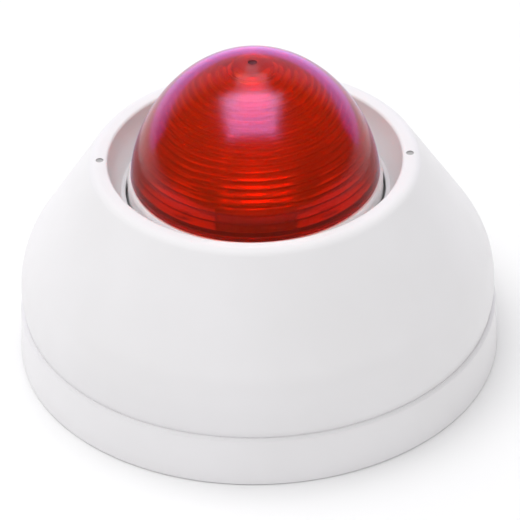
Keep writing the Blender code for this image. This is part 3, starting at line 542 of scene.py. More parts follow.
def cover_outside(inset, arc_steps=20):
    """The cover's outer line from the seam to the rim's flat, moved inwards by inset."""
    centre = (COVER_RADIUS - BULGE_ARC, BULGE_Z)
    foot = -math.degrees(math.asin((BULGE_Z - SEAM_Z - 0.3) / BULGE_ARC))
    points = arc(centre, BULGE_ARC - inset, foot, CONE_DEG, arc_steps)
    slope = math.tan(math.radians(CONE_DEG))
    start_r, start_z = points[-1]
    top = RIM_Z - inset
    corner_r = start_r - slope * (top - start_z)
    fillet = RIM_FILLET - min(inset, 1.0)
    reach = fillet * math.tan(math.radians(90 - CONE_DEG) / 2)
    return points + arc((corner_r - reach, top - fillet), fillet, CONE_DEG, 90, 10)


def make_cover():
    """The white shell: a bulging skirt, a cone, a soft rim and the sunk well round the lens."""
    outside = cover_outside(0.0)
    edge = 0.8
    well = arc((WELL_TOP_RADIUS + edge, RIM_Z - edge), edge, 90, 180, 6)
    well += [(WELL_LOW_RADIUS + 0.15, WELL_Z + 0.4), (WELL_LOW_RADIUS - 0.15, WELL_Z + 0.05)]
    well += [(WELL_HOLE_RADIUS + 0.2, WELL_Z), (WELL_HOLE_RADIUS, WELL_Z - 0.2)]
    well += [(WELL_HOLE_RADIUS, WELL_Z - WELL_WALL), (WELL_LOW_RADIUS + WELL_WALL, WELL_Z - WELL_WALL)]
    well += [(WELL_TOP_RADIUS + WELL_WALL - 0.3, CAVITY_ROOF_Z - 0.8)]
    well += [(WELL_TOP_RADIUS + WELL_WALL + 0.5, CAVITY_ROOF_Z)]
    inside = [p for p in cover_outside(SHELL) if TONGUE_TOP + 2.0 < p[1] < CAVITY_ROOF_Z - 4.0]
    slope = math.tan(math.radians(CONE_DEG))
    last_r, last_z = inside[-1]
    inside.append((last_r - slope * (CAVITY_ROOF_Z - last_z), CAVITY_ROOF_Z))
    rebate_roof, rebate, skirt = TONGUE_TOP + 1.6, TONGUE_OUTER + 0.3, SEAM_Z + SEAM_GAP
    lip = [(inside[0][0], rebate_roof), (rebate, rebate_roof), (rebate, skirt)]
    lip.append((outside[0][0] - 0.03, skirt))
    shell = turned(outside + well + inside[::-1] + lip, VERY_FINE)

    post_top = 44.0
    columns = [
        rod(4.0, low("cover").z, post_top, spot(name), COARSE, 0.3) for name in COVER_SCREWS
    ]
    post, turn = spot("tamper_plunger"), bearing("tamper_plunger")
    columns.append(rod(2.2, high("tamper_plunger").z + 0.3, post_top, post, TINY, 0.3))
    rib_at = polar(Vector(post).length - 2.0, turn)
    for group in (columns[:3], [joined(columns[3], block(12.0, 1.4, 24.0, post_top, rib_at, turn, 0.3))]):
        within = turned([(0, 0)] + cover_outside(1.1, 8) + [(0, RIM_Z - 1.1)], VERY_FINE)
        shell = joined(shell, trimmed(together(*group), within))
    holes = drills(1.7, 0.0, 21.0, COVER_SCREWS, COARSE)
    gates = [(GATE_AT, 0.0), (-GATE_AT, 0.0)]
    for place in gates:
        holes.append(rod(GATE_RADIUS, RIM_Z - GATE_DEPTH, RIM_Z + 1.0, place, COARSE))
    cover = stand_in("cover", cut(shell, *holes), "white", body="cover_unit")

    # The gate dimples' faces get the grey look: painted shade standing for the shade in the recess.
    def in_painted_gate_shade(place):
        near = min((place.xy - Vector(gate)).length for gate in gates) < GATE_RADIUS
        return near and RIM_Z - GATE_DEPTH - 0.05 < place.z < RIM_Z - 0.02

    repaint(cover, "gate", in_painted_gate_shade)


# ---- base


def keyhole(x, low_z, high_z):
    """A wall screw's head goes in at the bottom and slides up into the narrow end."""
    wide, narrow, wide_y, high_y = 4.0, 2.0, -3.0, 4.5
    neck_deg = math.degrees(math.asin(narrow / wide))
    outline = arc((x, wide_y), wide, 90 + neck_deg, 450 - neck_deg, 40)
    return prism(outline + arc((x, high_y - narrow), narrow, 0, 180, 20), low_z, high_z)


def counterbore(at, head_radius, head_depth, hole_radius, high_z):
    outline = [(0, -1.0), (head_radius + 0.4, -1.0), (head_radius, 0.4), (head_radius, head_depth)]
    outline += [(hole_radius, head_depth), (hole_radius, high_z), (0, high_z)]
    return turned(outline, COARSE, at)


def make_base():
    """The shallow back: a drafted band, a tongue for the cover, a ring seat for the tower and posts."""
    seat_inner, seat_outer, seat_top = 22.5, 33.7, 4.0
    outline = [(0, 0), (BASE_RADIUS - 0.08, 0), (BASE_RADIUS, 0.08), (BASE_TOP_RADIUS, SEAM_Z - 0.62)]
    outline += [(BASE_TOP_RADIUS - 0.1, SEAM_Z - 0.44), (BASE_TOP_RADIUS - 0.68, SEAM_Z - 0.04)]
    outline += [(BASE_TOP_RADIUS - 0.8, SEAM_Z), (TONGUE_OUTER, SEAM_Z), (TONGUE_OUTER, TONGUE_TOP - 0.3)]
    outline += [(TONGUE_OUTER - 0.25, TONGUE_TOP), (TONGUE_INNER + 0.25, TONGUE_TOP)]
    outline += [(TONGUE_INNER, TONGUE_TOP - 0.3), (TONGUE_INNER, FLOOR + 0.8), (TONGUE_INNER - 0.8, FLOOR)]
    outline += [(seat_outer, FLOOR), (seat_outer, seat_top), (seat_inner, seat_top), (seat_inner, FLOOR)]
    outline += [(0, FLOOR)]
    tray = turned(outline, VERY_FINE)
    sunk = FLOOR - 1.0
    posts = [(spot(name), low("control_board").z - 0.3) for name in BOARD_SCREWS]
    raised = [rod(5.5, sunk, low("cover").z - 0.3, spot(name), COARSE, 0.35) for name in COVER_SCREWS]
    raised += [rod(2.8, sunk, top, place, COARSE, 0.3) for place, top in posts]
    raised += [block(23.5, 1.4, sunk, 5.4, polar(45.0, a), a, 0.25) for a in (28, 118, 152, 195, 342)]
    tray = joined(tray, *raised)
    holes = [counterbore(spot(name), 3.3, 4.2, 1.75, 8.0) for name in COVER_SCREWS]
    holes += [counterbore(spot(name), 3.1, 2.2, 1.75, 5.0) for name in TOWER_SCREWS]
    holes += [rod(1.45, FLOOR + 0.6, top + 1.0, place, TINY) for place, top in posts]
    holes.append(rod(5.3, -1.0, FLOOR + 1.0, spot("cable_grommet"), COARSE))
    holes += [keyhole(side * 44.0, -1.0, FLOOR + 1.0) for side in (-1, 1)]
    stand_in("base", cut(tray, *holes), "white")

    outline = [(3.0, 0.5), (4.7, 0.5), (5.0, 1.0), (5.0, FLOOR + 0.3), (7.2, FLOOR + 0.3)]
    outline += [(7.0, 4.0), (4.6, 4.4), (3.8, 7.4), (3.0, 7.4)]
    grommet = turned(rounded(outline, 0.35), MEDIUM, spot("cable_grommet"))
    stand_in("cable_grommet", grommet, "rubber")
    seal = tube(TONGUE_INNER + 0.1, TONGUE_OUTER - 0.1, *span("cover_seal"), VERY_FINE, 0.4)
    stand_in("cover_seal", seal, "rubber")


# ---- tower and lens


def make_tower():
    """The tube that carries the strobe and the lens, with the sound's windows round it."""
    inner, outer, bore, foot = 30.2, 32.2, 28.6, low("lens_tower").z
    shoulder, collar, collar_top = 42.6, 31.4, 30.9
    window_low, window_top, half_deg = 30.0, 40.0, 19.0
    deck_low, deck_top = 42.5, 44.5
    outline = [(inner, foot), (outer, foot), (outer, shoulder), (collar, shoulder + 0.8)]
    outline += [(collar, LENS_FOOT_Z - 1.2), (collar_top, LENS_FOOT_Z - 0.3), (bore, LENS_FOOT_Z - 0.3)]
    outline += [(bore, BEAD_TOP + 0.3), (BEAD_RADIUS + 0.3, BEAD_TOP + 0.1)]
    outline += [(BEAD_RADIUS + 0.3, BEAD_LOW - 0.2), (bore, BEAD_LOW - 0.4), (bore, deck_top), (0, deck_top)]
    outline += [(0, deck_low), (inner, deck_low), (inner, 29.0), (24.6, 29.0), (24.6, 26.0), (inner, 26.0)]
    tower = turned(rounded(outline, 0.3, 2), VERY_FINE)
    bosses = [rod(3.4, foot, 16.0, spot(name), COARSE, 0.3) for name in TOWER_SCREWS]
    posts = [spot(name) for name in STROBE_SCREWS]
    board_low = low("strobe_board").z
    bosses += [rod(3.0, deck_top - 1.0, board_low - 0.3, place, COARSE, 0.2) for place in posts]
    tower = joined(tower, *bosses)
    turns = [(a - half_deg, a + half_deg) for a in range(40, 400, 60)]
    windows = [softened(sector(28.0, 35.5, *turn, window_low, window_top), 1.2, 3) for turn in turns]
    windows.append(softened(sector(28.0, 35.0, LEAD_DEG - 7, LEAD_DEG + 7, 10.0, 18.0, 8), 1.0, 3))
    windows.append(rod(2.2, deck_low - 1, deck_top + 1, polar(24.2, LEAD_DEG), TINY))
    for side in (-1, 1):
        windows.append(rod(0.85, 25.0, 30.0, polar(29.0, LEAD_DEG + side * LEAD_SPREAD_DEG), TINY))
    windows += drills(1.7, 2.0, 13.0, TOWER_SCREWS)
    windows += drills(1.3, 25.0, 30.0, SPEAKER_SCREWS)
    windows += drills(1.3, deck_low - 1, board_low, posts)
    stand_in("lens_tower", cut(tower, *windows), "white")
    seal = tube(SPIGOT_OUTER - 1.9, SPIGOT_OUTER, *span("lens_seal"), FINE, 0.35)
    stand_in("lens_seal", seal, "rubber")


def dome_point(z, inset=0.0):
    """A point of the lens's outer line at this height, moved in along the line's normal."""
    height = LENS_TOP_Z - DOME_START_Z
    share = min(max((z - DOME_START_Z) / height, 1e-4), 0.9999)
    fullness = 1 - share**LENS_POWER
    radius = LENS_RADIUS * math.sqrt(fullness)
    fall = -LENS_RADIUS * LENS_POWER * share ** (LENS_POWER - 1) / (2 * math.sqrt(fullness) * height)
    steep = math.hypot(1.0, fall)
    return (radius - inset / steep, z + inset * fall / steep)


def make_lens():
    """The dome, smooth outside and stepped inside into light-bending rings, on its skirt."""
    outside = []
    steps = 60
    for i in range(steps):
        share = math.sin(math.radians(90 * i / steps))
        outside.append(dome_point(LENS_FOOT_Z + 0.3 + share * (LENS_TOP_Z - LENS_FOOT_Z - 0.3)))
    gate_radius, gate_depth = 1.1, 0.35
    outside = [p for p in outside if p[0] > gate_radius + 0.15]
    outside += [(gate_radius, LENS_TOP_Z - 0.06), (gate_radius * 0.9, LENS_TOP_Z - gate_depth)]
    outside.append((0, LENS_TOP_Z - gate_depth))
    rings = []
    z = LENS_FOOT_Z + 1.4
    while dome_point(z, RING_THICK)[0] > 4.0:
        rise = RING_PITCH - RING_PITCH_FALL * (z - LENS_FOOT_Z) / (LENS_TOP_Z - LENS_FOOT_Z)
        rise *= min(1.0, WIDEST_RING / (dome_point(z)[0] - dome_point(z + rise)[0]))
        rings.append(dome_point(z, RING_THICK))
        rings.append(dome_point(z + RING_STEP * rise, RING_THIN))
        for share in (0.35, 0.7):
            depth = RING_THIN + (RING_THICK - RING_THIN) * share**1.6
            rings.append(dome_point(z + (RING_STEP + share * (1 - RING_STEP)) * rise, depth))
        z += rise
    crown = [(rings[-1][0] * 0.66, LENS_TOP_Z - 2.35), (rings[-1][0] * 0.33, LENS_TOP_Z - 2.12)]
    crown.append((0, LENS_TOP_Z - 2.05))
    wall = 2.0
    skirt = [(SPIGOT_OUTER - wall, LENS_FOOT_Z - 0.6), (SPIGOT_OUTER - wall, SPIGOT_LOW_Z + 0.2)]
    skirt += [(SPIGOT_OUTER - wall + 0.2, SPIGOT_LOW_Z), (SPIGOT_OUTER - 0.2, SPIGOT_LOW_Z)]
    skirt += [(SPIGOT_OUTER, SPIGOT_LOW_Z + 0.2), (SPIGOT_OUTER, BEAD_LOW), (BEAD_RADIUS, BEAD_LOW + 0.2)]
    skirt += [(BEAD_RADIUS, BEAD_TOP - 0.2), (SPIGOT_OUTER, BEAD_TOP), (SPIGOT_OUTER, LENS_FOOT_Z)]
    skirt += [(LENS_RADIUS - 0.3, LENS_FOOT_Z), (LENS_RADIUS - 0.08, LENS_FOOT_Z + 0.1)]
    inside = crown[::-1] + rings[::-1]
    shape = turned(outside + inside + skirt, VERY_FINE)
    lens = stand_in("lens", shape, "red", smooth_deg=22.0)
    gate_floor = LENS_TOP_Z - gate_depth - 0.01
    # The apex dimple's faces are painted a much darker red.
    repaint(lens, "red_gate", lambda place: place.xy.length < gate_radius and place.z > gate_floor)


# ---- strobe

ON_STROBE = high("strobe_board").z + 0.3
TUBE_HALF, TUBE_BEND_Z = 4.0, 60.0


def lying(outline, radius, at, turn_deg):
    """An outline turned about the vertical, then laid on its side. at is the middle of its underside."""
    shape = turned(outline, COARSE)
    place = Matrix.Translation((at[0], at[1], at[2] + radius)) @ turning(turn_deg) @ turning(90, "Y")
    bmesh.ops.transform(shape, matrix=place, verts=shape.verts)
    return shape


def sleeve_outline(length, radius, start):
    """A capacitor's shrunk sleeve, from start upwards: crimped near its foot, open over the can's top."""
    outline = [(0, start), (radius - 0.5, start), (radius - 0.1, start + 0.35), (radius, start + 0.8)]
    outline += arc((radius + 1.2, start + length * 0.16), 1.6, 200, 160, 6)
    outline += [(radius, start + length * 0.16 + 1.0), (radius, start + length - 0.7)]
    outline += [(radius - 0.3, start + length - 0.2), (radius - 0.9, start + length), (0, start + length)]
    return outline


def vented_top(radius, top):
    """The can's bright end, scored with a cross where it would burst."""
    disc = turned([(0, top - 0.4), (radius, top - 0.4), (radius, top + 0.02), (0, top + 0.02)], COARSE)
    scores = [block(radius * 1.3, 0.35, top - 0.16, top + 1.0, (0, 0), turn) for turn in (0, 90)]
    return cut(disc, joined(*scores))


def swept(points, radius, sides, closed_ends=True):
    """A round bar along the points."""
    shape = bmesh.new()
    rings = []
    across = None
    for i, point in enumerate(points):
        ahead = (points[min(i + 1, len(points) - 1)] - points[max(i - 1, 0)]).normalized()
        if across is None:
            across = ahead.orthogonal().normalized()
        across = (across - ahead * across.dot(ahead)).normalized()
        side = ahead.cross(across)
        ring = []
        for k in range(sides):
            angle = 2 * math.pi * k / sides
            ring.append(shape.verts.new(point + radius * (math.cos(angle) * across + math.sin(angle) * side)))
        rings.append(ring)
    for first, second in zip(rings, rings[1:]):
        for k in range(sides):
            n = (k + 1) % sides
            shape.faces.new((first[k], first[n], second[n], second[k]))
    if closed_ends:
        shape.faces.new(rings[0][::-1])
        shape.faces.new(rings[-1])
    bmesh.ops.recalc_face_normals(shape, faces=shape.faces)
    return shape


def wire_turns(z, last_z, pitch, inner, outer):
    """The ridged side of a winding, and the height at which it ends."""
    ridges = []
    while z < last_z:
        ridges += [(inner, z), (outer, z + pitch / 2)]
        z += pitch
    return ridges, z


def tube_line(steps):
    foot = ON_STROBE + 2.4
    line = [Vector((-TUBE_HALF, 0, foot + (TUBE_BEND_Z - foot) * i / 6)) for i in range(6)]
    for i in range(steps + 1):
        angle = math.radians(180 - 180 * i / steps)
        line.append(Vector((TUBE_HALF * math.cos(angle), 0, TUBE_BEND_Z + TUBE_HALF * math.sin(angle))))
    line += [Vector((TUBE_HALF, 0, TUBE_BEND_Z - (TUBE_BEND_Z - foot) * i / 6)) for i in range(1, 7)]
    return line


def solder_joint(radius, height, at, z):
    """A little cone of solder hanging round a pin."""
    outline = [(0, z), (radius, z), (radius * 0.62, z - height * 0.3)]
    outline += [(radius * 0.4, z - height * 0.75), (radius * 0.2, z - height), (0, z - height)]
    return turned(outline, 16, at)


def make_strobe():
    board_low, board_top = span("strobe_board")
    posts = [spot(name) for name in STROBE_SCREWS]
    disc = rod(high("strobe_board").x, board_low, board_top, (0, 0), FINE, 0.2)
    holes = drills(1.5, 40, 50, posts)
    holes += [rod(1.0, 40, 50, (side * TUBE_HALF, 0), TINY) for side in (-1, 1)]
    stand_in("strobe_board", cut(disc, *holes), "white_board")
    make_screws(STROBE_SCREWS, 2.1, 1.0, "steel")

    dish = [(0, ON_STROBE), (8.8, ON_STROBE)] + arc((7.8, ON_STROBE + 7.0), 7.0, -78, -18, 12)
    edge = dish[-1]
    lip = [(edge[0] + 0.25, edge[1] + 0.3), (edge[0] - 0.3, edge[1] + 0.55), (edge[0] - 0.8, edge[1] + 0.3)]
    inner = [(r - 0.75, z + 0.55) for r, z in reversed(dish[2:-1])]
    dish += lip + inner + [(8.2, ON_STROBE + 1.0), (0, ON_STROBE + 1.0)]
    scale = high("reflector").x / max(r for r, z in dish)
    shape = turned([(r * scale, z) for r, z in dish], FINE)
    feet = [rod(1.6, ON_STROBE - 1, ON_STROBE + 2, (side * TUBE_HALF, 0), TINY) for side in (-1, 1)]
    stand_in("reflector", cut(shape, *feet), "mirror")

    outer, inner = swept(tube_line(24), 2.1, 24, False), swept(tube_line(24), 1.45, 24, False)
    bmesh.ops.reverse_faces(inner, faces=inner.faces)
    glass_u = together(outer, inner)
    rims = [e for e in glass_u.edges if e.is_boundary]
    bmesh.ops.bridge_loops(glass_u, edges=[e for e in rims if e.verts[0].co.x < 0])
    bmesh.ops.bridge_loops(glass_u, edges=[e for e in rims if e.verts[0].co.x > 0])
    bmesh.ops.recalc_face_normals(glass_u, faces=glass_u.faces)
    stand_in("flash_tube", glass_u, "glass")
    for name in ("tube_electrode_left", "tube_electrode_right"):
        pin = [(0, 45.2), (0.6, 45.2), (0.6, 50.6), (1.0, 50.9), (1.0, 54.2), (0.7, 54.9), (0, 55.2)]
        at = (middle(name).x, 0)
        stand_in(name, turned(rounded(pin, 0.15), TINY, at), "steel")
        piece(f"{name}_solder", solder_joint(1.7, 0.9, at, board_low - 0.02), "solder")

    length, radius = 19.0, 3.9
    place = (0, middle("strobe_capacitor").y, ON_STROBE)
    sleeve = lying(sleeve_outline(length, radius, -length / 2), radius, place, 0.0)
    stand_in("strobe_capacitor", sleeve, "sleeve")
    make_trigger_transformer()


def make_trigger_transformer():
    """A coil on its side: two flanges and the winding between them."""
    length, radius, turn = 9.0, 3.0, 24.0
    at = (*spot("trigger_transformer"), ON_STROBE)
    bobbin = [(0, -length / 2), (radius, -length / 2), (radius, -length / 2 + 1.1)]
    bobbin += [(1.6, -length / 2 + 1.1), (1.6, length / 2 - 1.1), (radius, length / 2 - 1.1)]
    bobbin += [(radius, length / 2), (0, length / 2)]
    shape = lying(rounded(bobbin, 0.2), radius, at, turn)
    stand_in("trigger_transformer", shape, "cream")
    start, end = -length / 2 + 1.3, length / 2 - 1.3
    ridges, z = wire_turns(start, end, 0.32, radius - 0.62, radius - 0.5)
    turns = [(1.55, -length / 2 + 1.15), *ridges, (radius - 0.62, z), (1.55, length / 2 - 1.15)]
    piece("trigger_winding", lying(turns, radius, at, turn), "copper")


# ---- loudspeaker


def make_speaker():
    yoke = [(0, 3.4), (13.4, 3.4), (14.0, 4.0), (14.0, 5.4), (4.6, 5.4), (4.6, 13.0), (0, 13.0)]
    stand_in("speaker_yoke", turned(rounded(yoke, 0.3)), "zinc")
    stand_in("speaker_magnet", tube(8.5, 16.0, *span("speaker_magnet"), FINE, 0.5), "ferrite")
    stand_in("speaker_top_plate", tube(5.9, 15.0, *span("speaker_top_plate"), FINE, 0.3), "zinc")

    flange_low, flange_top, flange_radius = 22.3, 23.7, high("speaker_frame").x
    outline = [(8.0, 13.3), (15.5, 13.3), (23.9, 21.4), (23.9, flange_low), (flange_radius, flange_low)]
    outline += [(flange_radius, flange_top), (22.9, flange_top), (22.9, 21.9), (15.1, 14.3), (8.0, 14.3)]
    basket = turned(rounded(outline, 0.35), FINE)
    holes = [softened(sector(16.5, 22.8, a - 20, a + 20, 13.0, 24.5, 12), 0.8) for a in range(30, 390, 60)]
    screws = [spot(name) for name in SPEAKER_SCREWS]
    holes += drills(1.3, 21, 25, screws)
    stand_in("speaker_frame", cut(basket, *holes), "steel")

    roll = [(20.7, 24.6), (20.9, 24.2)] + arc((22.1, 23.9), 1.05, 150, 30, 10)
    roll += [(23.4, 24.0), (24.6, 24.0), (24.6, 24.4), (23.5, 24.4)]
    roll += [(r, z + 0.35) for r, z in reversed(arc((22.1, 23.9), 1.05, 140, 30, 10))]
    stand_in("cone_surround", turned(roll, FINE), "film")
    gasket = tube(24.9, 27.5, 24.0, 25.7, FINE, 0.4)
    gasket = cut(gasket, *drills(1.3, 23, 27, screws))
    stand_in("speaker_gasket", gasket, "foam")
    make_screws(SPEAKER_SCREWS, 1.9, 0.95, "zinc")

    ridges, _ = wire_turns(9.1, 15.0, 0.34, 5.45, 5.55)
    coil = [(4.95, 9.0), (5.35, 9.0), *ridges, (5.25, 15.2), (5.25, 17.4), (4.95, 17.4)]
    stand_in("voice_coil", turned(coil, MEDIUM), "copper", body="cone_unit")
    make_cone()


def make_cone():
    """The diaphragm: a centre dome, a neck and a shallow flare pressed with rings."""
    top = arc((0, 11.0), 9.2, 90, 56, 14)
    under = arc((0, 11.0), 8.8, 56, 90, 14)
    flare_top, flare_low = [], []
    count = 24
    for i in range(count + 1):
        share = i / count
        radius = 6.4 + (20.6 - 6.4) * share
        ripple = 0.14 * math.sin(share * 8 * math.pi) * math.sin(share * math.pi)
        height = 18.5 + (23.4 - 18.5) * share + ripple
        flare_top.append((radius, height))
        flare_low.append((radius + 0.1, height - 0.42))
    outline = [(0, top[0][1])] + top[1:] + flare_top + flare_low[::-1] + under[:-1] + [(0, under[-1][1])]
    stand_in("speaker_cone", turned(outline, FINE), "film", body="cone_unit")


# ---- control board

ON_BOARD = high("control_board").z + 0.3
SOCKET_RADIUS, SPEAKER_SOCKET_DEG, STROBE_SOCKET_DEG = 38.4, 244.5, 255.5
TRANSISTOR_AT, TRANSFORMER_AT, TERMINALS_RADIUS = (47.5, 230.5), (43.0, 301.0), 48.6
TERMINAL_PITCH, WAYS = 5.08, 4
CHIP_DEG, CHIP_PITCH, LEGS_A_SIDE = 285.0, 1.27, 7
SMALL_PARTS = ((37.6, 262.5), (40.2, 265.0), (37.4, 267.5), (37.2, 274.0))
SMALL_PARTS += ((38.0, 291.5), (48.5, 293.0), (42.8, 240.0), (51.5, 243.0))  # radius and degrees
PADS = ((SOCKET_RADIUS, SPEAKER_SOCKET_DEG), (SOCKET_RADIUS, STROBE_SOCKET_DEG), TRANSISTOR_AT)
PADS += ((44.6, 272.5), TRANSFORMER_AT, (TERMINALS_RADIUS, 252.0))


def make_board():
    board_low, board_top = span("control_board")
    board = sector(BOARD_INNER, BOARD_OUTER, *BOARD_DEGS, board_low, board_top, 72)
    holes = drills(1.5, board_low - 1, board_top + 1, BOARD_SCREWS)
    stand_in("control_board", cut(board, *holes), "board", soft=0.15)
    make_screws(BOARD_SCREWS, 2.3, 1.1, "steel")
    make_terminals()
    make_filter_capacitor()
    make_transformer()
    make_chip()
    make_transistor()
    make_connector("speaker_connector", SPEAKER_SOCKET_DEG)
    make_connector("strobe_connector", STROBE_SOCKET_DEG)
    make_small_parts(board_low, board_top)
    make_tamper()


def make_terminals():
    """Four screw clamps in a row, with wire mouths towards the rim and a clamp plate in each."""
    depth, turn = 8.0, (bearing("terminal_screw_2") + bearing("terminal_screw_3")) / 2
    (start, top), across = span("terminal_block"), turn + 90
    outwards, along = polar(1.0, turn).xy, polar(1.0, across).xy
    centre = polar(TERMINALS_RADIUS, turn).xy
    housing = block(TERMINAL_PITCH * WAYS, depth, start, top, centre, across, 0.4)
    shoulder = centre + outwards * 4.0
    tools, plates = [block(TERMINAL_PITCH * WAYS + 2, 1.6, top - 2.4, top + 1, shoulder, across)], []
    for i in range(WAYS):
        way = centre + along * TERMINAL_PITCH * (i - (WAYS - 1) / 2)
        tools.append(rod(2.0, top - 3.4, top + 1.0, way, COARSE))
        mouth, clamp = way + outwards * depth / 2, way + outwards * 1.75
        tools.append(block(3.4, 5.0, start + 1.2, start + 4.6, mouth, across, 0.3))
        plates.append(block(3.1, 0.5, start + 1.5, start + 4.3, clamp, across, 0.12))
        if i:
            groove = way - along * TERMINAL_PITCH / 2
            tools.append(block(0.5, depth + 2, top - 1.2, top + 1, groove, across))
    for tool in tools:  # one at a time, because overlapping tools in one Boolean leave nothing
        housing = cut(housing, tool)
    stand_in("terminal_block", housing, "blue")
    for number, plate in enumerate(plates, 1):
        piece(f"terminal_plate_{number}", plate, "zinc")
    for name in TERMINAL_SCREWS:
        stand_in(name, slotted_screw(spot(name), *span(name)), "zinc", slot="steel")


def slotted_screw(at, bottom, top):
    head, shank = 1.7, 0.6
    outline = [(0, bottom), (shank, bottom), (shank, top - 1.2), (head, top - 1.2), (head, top - 0.25)]
    screw = turned(outline + [(head - 0.3, top), (0, top)], COARSE, at)
    return cut(screw, block(4.2, 0.55, top - 0.6, top + 1, at, 30.0))


def make_filter_capacitor():
    name = "filter_capacitor"
    place, (start, top) = spot(name), span(name)
    sleeve = turned(sleeve_outline(top - start, 5.0, start), MEDIUM, place)
    well = rod(4.0, top - 0.35, top + 1.0, place, COARSE)
    stand_in(name, cut(sleeve, well), "sleeve")
    disc = vented_top(3.95, top - 0.25)
    bmesh.ops.translate(disc, vec=(place.x, place.y, 0), verts=disc.verts)
    piece("filter_capacitor_top", disc, "aluminium")


def make_transformer():
    """A ferrite frame round a bobbin wound with enamelled wire, on two feet."""
    degrees, start = TRANSFORMER_AT[1], ON_BOARD
    place, turn = polar(*TRANSFORMER_AT).xy, degrees + 90
    core = block(13.0, 5.6, start + 1.5, start + 13.0, place, turn, 0.3)
    window = block(9.8, 8.0, start + 4.0, start + 10.5, place, turn)
    stand_in("transformer_core", cut(core, window), "ferrite")
    winding = block(9.0, 9.6, start + 4.4, start + 10.1, place, turn, 1.1)
    stand_in("transformer_winding", winding, "copper")
    for number, side in ((1, -1), (2, 1)):
        foot = block(8.6, 2.4, start, start + 4.1, place + polar(side * 3.9, degrees).xy, turn, 0.25)
        piece(f"transformer_foot_{number}", foot, "black")


def make_chip():
    """The controller: a moulded body with a notch, and seven legs along each side."""
    name = "control_chip"
    place, turn, (start, top) = spot(name), CHIP_DEG + 90, span(name)
    body = block(9.6, 6.4, start, top, place, turn, 0.35)
    along, across = polar(1.0, turn).xy, polar(1.0, turn + 90).xy
    stand_in(name, cut(body, rod(0.8, top - 0.4, top + 1, place - along * 4.6, TINY)), "black")
    legs = []
    for side in (-1, 1):
        for i in range(LEGS_A_SIDE):
            foot = place + along * CHIP_PITCH * (i - 3) + across * side * 3.75
            legs.append(block(0.5, 0.35, ON_BOARD - 0.28, start + 1.9, foot, turn))
            knee = foot - across * side * 0.35
            legs.append(block(0.5, 0.9, start + 1.65, start + 1.98, knee, turn))
    piece("control_chip_legs", together(*legs), "solder")


def make_transistor():
    """A power transistor standing on three legs with its metal tab behind it."""
    name, degrees = "driver_transistor", TRANSISTOR_AT[1]
    place, turn = polar(*TRANSISTOR_AT).xy, degrees + 90
    start, top = ON_BOARD, high(name).z
    case = block(10.0, 4.0, start + 2.5, start + 11.0, place, turn, 0.35)
    feet = [place + polar(2.6 * i, turn).xy for i in (-1, 0, 1)]
    stand_in(name, joined(case, *[block(1.0, 0.8, start, start + 3.0, foot, turn) for foot in feet]), "black")
    back = place + polar(1.8, degrees).xy
    tab = block(9.4, 1.2, start + 3.2, top, back, turn, 0.15)
    hole = rod(1.3, -5.0, 5.0, (0, 0), TINY)
    tilt = Matrix.Translation((back.x, back.y, top - 2.0)) @ turning(degrees) @ turning(90, "Y")
    bmesh.ops.transform(hole, matrix=tilt, verts=hole.verts)
    piece("driver_transistor_tab", cut(tab, hole), "zinc")


def make_connector(name, degrees):
    """A two-way socket shell, with a well for each lead and a keyway."""
    (start, top), across = span(name), degrees + 90
    centre = polar(SOCKET_RADIUS, degrees).xy
    shell = block(5.6, 5.0, start, top, centre, across, 0.35)
    ways = [centre + polar(side * 1.15, across).xy for side in (-1, 1)]
    tools = [block(1.7, 2.6, top - 1.4, top + 1, way, across, 0.15) for way in ways]
    tools.append(block(2.2, 1.0, top - 3.2, top + 1, centre + polar(2.4, degrees).xy, across))
    stand_in(name, cut(shell, *tools), "cream")


def make_small_parts(board_low, board_top):
    """Chip resistors and capacitors on the board's top, and solder joints under it."""
    bodies, ends, pads = [], [], []
    foot = board_top - 0.05
    for i, (radius, degrees) in enumerate(SMALL_PARTS):
        at, turn = polar(radius, degrees).xy, degrees + (90 if i % 2 else 0)
        bodies.append(block(2.0, 1.5, foot, board_top + 0.75, at, turn, 0.08))
        for side in (-1, 1):
            ends.append(block(0.5, 1.52, foot, board_top + 0.8, at + polar(side * 1.15, turn).xy, turn, 0.1))
    piece("board_chip_parts", together(*bodies), "black")
    for radius, degrees in PADS:
        for side in (-1, 1):
            at = polar(radius, degrees).xy + polar(side * 1.3, degrees + 90).xy
            pads.append(solder_joint(0.9, 0.7, at, board_low + 0.02))
    piece("board_solder", together(*ends, *pads), "solder")


def make_tamper():
    """The switch that opens when the cover comes off, with its sprung plunger."""
    place, turn, top = spot("tamper_plunger"), bearing("tamper_plunger"), high("tamper_switch").z
    case = block(6.6, 6.6, ON_BOARD, top, place, turn, 0.45)
    bore = rod(1.55, ON_BOARD + 1.5, top + 1.0, place, COARSE)
    within = block(6.2, 6.2, top - 3, top - 1, place, turn)
    seam = cut(block(8, 8, top - 2.3, top - 2.05, place, turn), within)
    stand_in("tamper_switch", cut(case, bore, seam), "black")
    foot, cap_low, cap_top = 11.6, 17.0, high("tamper_plunger").z
    outline = [(0, foot), (1.2, foot), (1.2, cap_low), (2.7, cap_low), (2.7, cap_top - 0.5)]
    outline += [(2.2, cap_top), (0, cap_top)]
    plunger = turned(rounded(outline, 0.25), COARSE, place)
    stand_in("tamper_plunger", plunger, "cream", body="plunger_unit")
    make_tamper_spring(Vector((place.x, place.y, 0)))


def make_tamper_spring(place):
    turns, steps = 3, 32
    start, end = low("tamper_spring").z + 0.2, high("tamper_spring").z - 0.2
    line = []
    for i in range(turns * steps + 1):
        line.append(polar(1.95, 360.0 * i / steps, start + (end - start) * i / (turns * steps)) + place)
    shape = swept(line, 0.2, 10)
    bmesh.ops.transform(shape, matrix=Matrix.Scale(MM, 4), verts=shape.verts)
    spring = object_of("tamper_spring_fine", shape)
    spring.data.materials.append(LOOKS["steel"])
    spring.data.shade_smooth()
    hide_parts("tamper_spring")
    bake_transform(spring)


# ---- inner leads


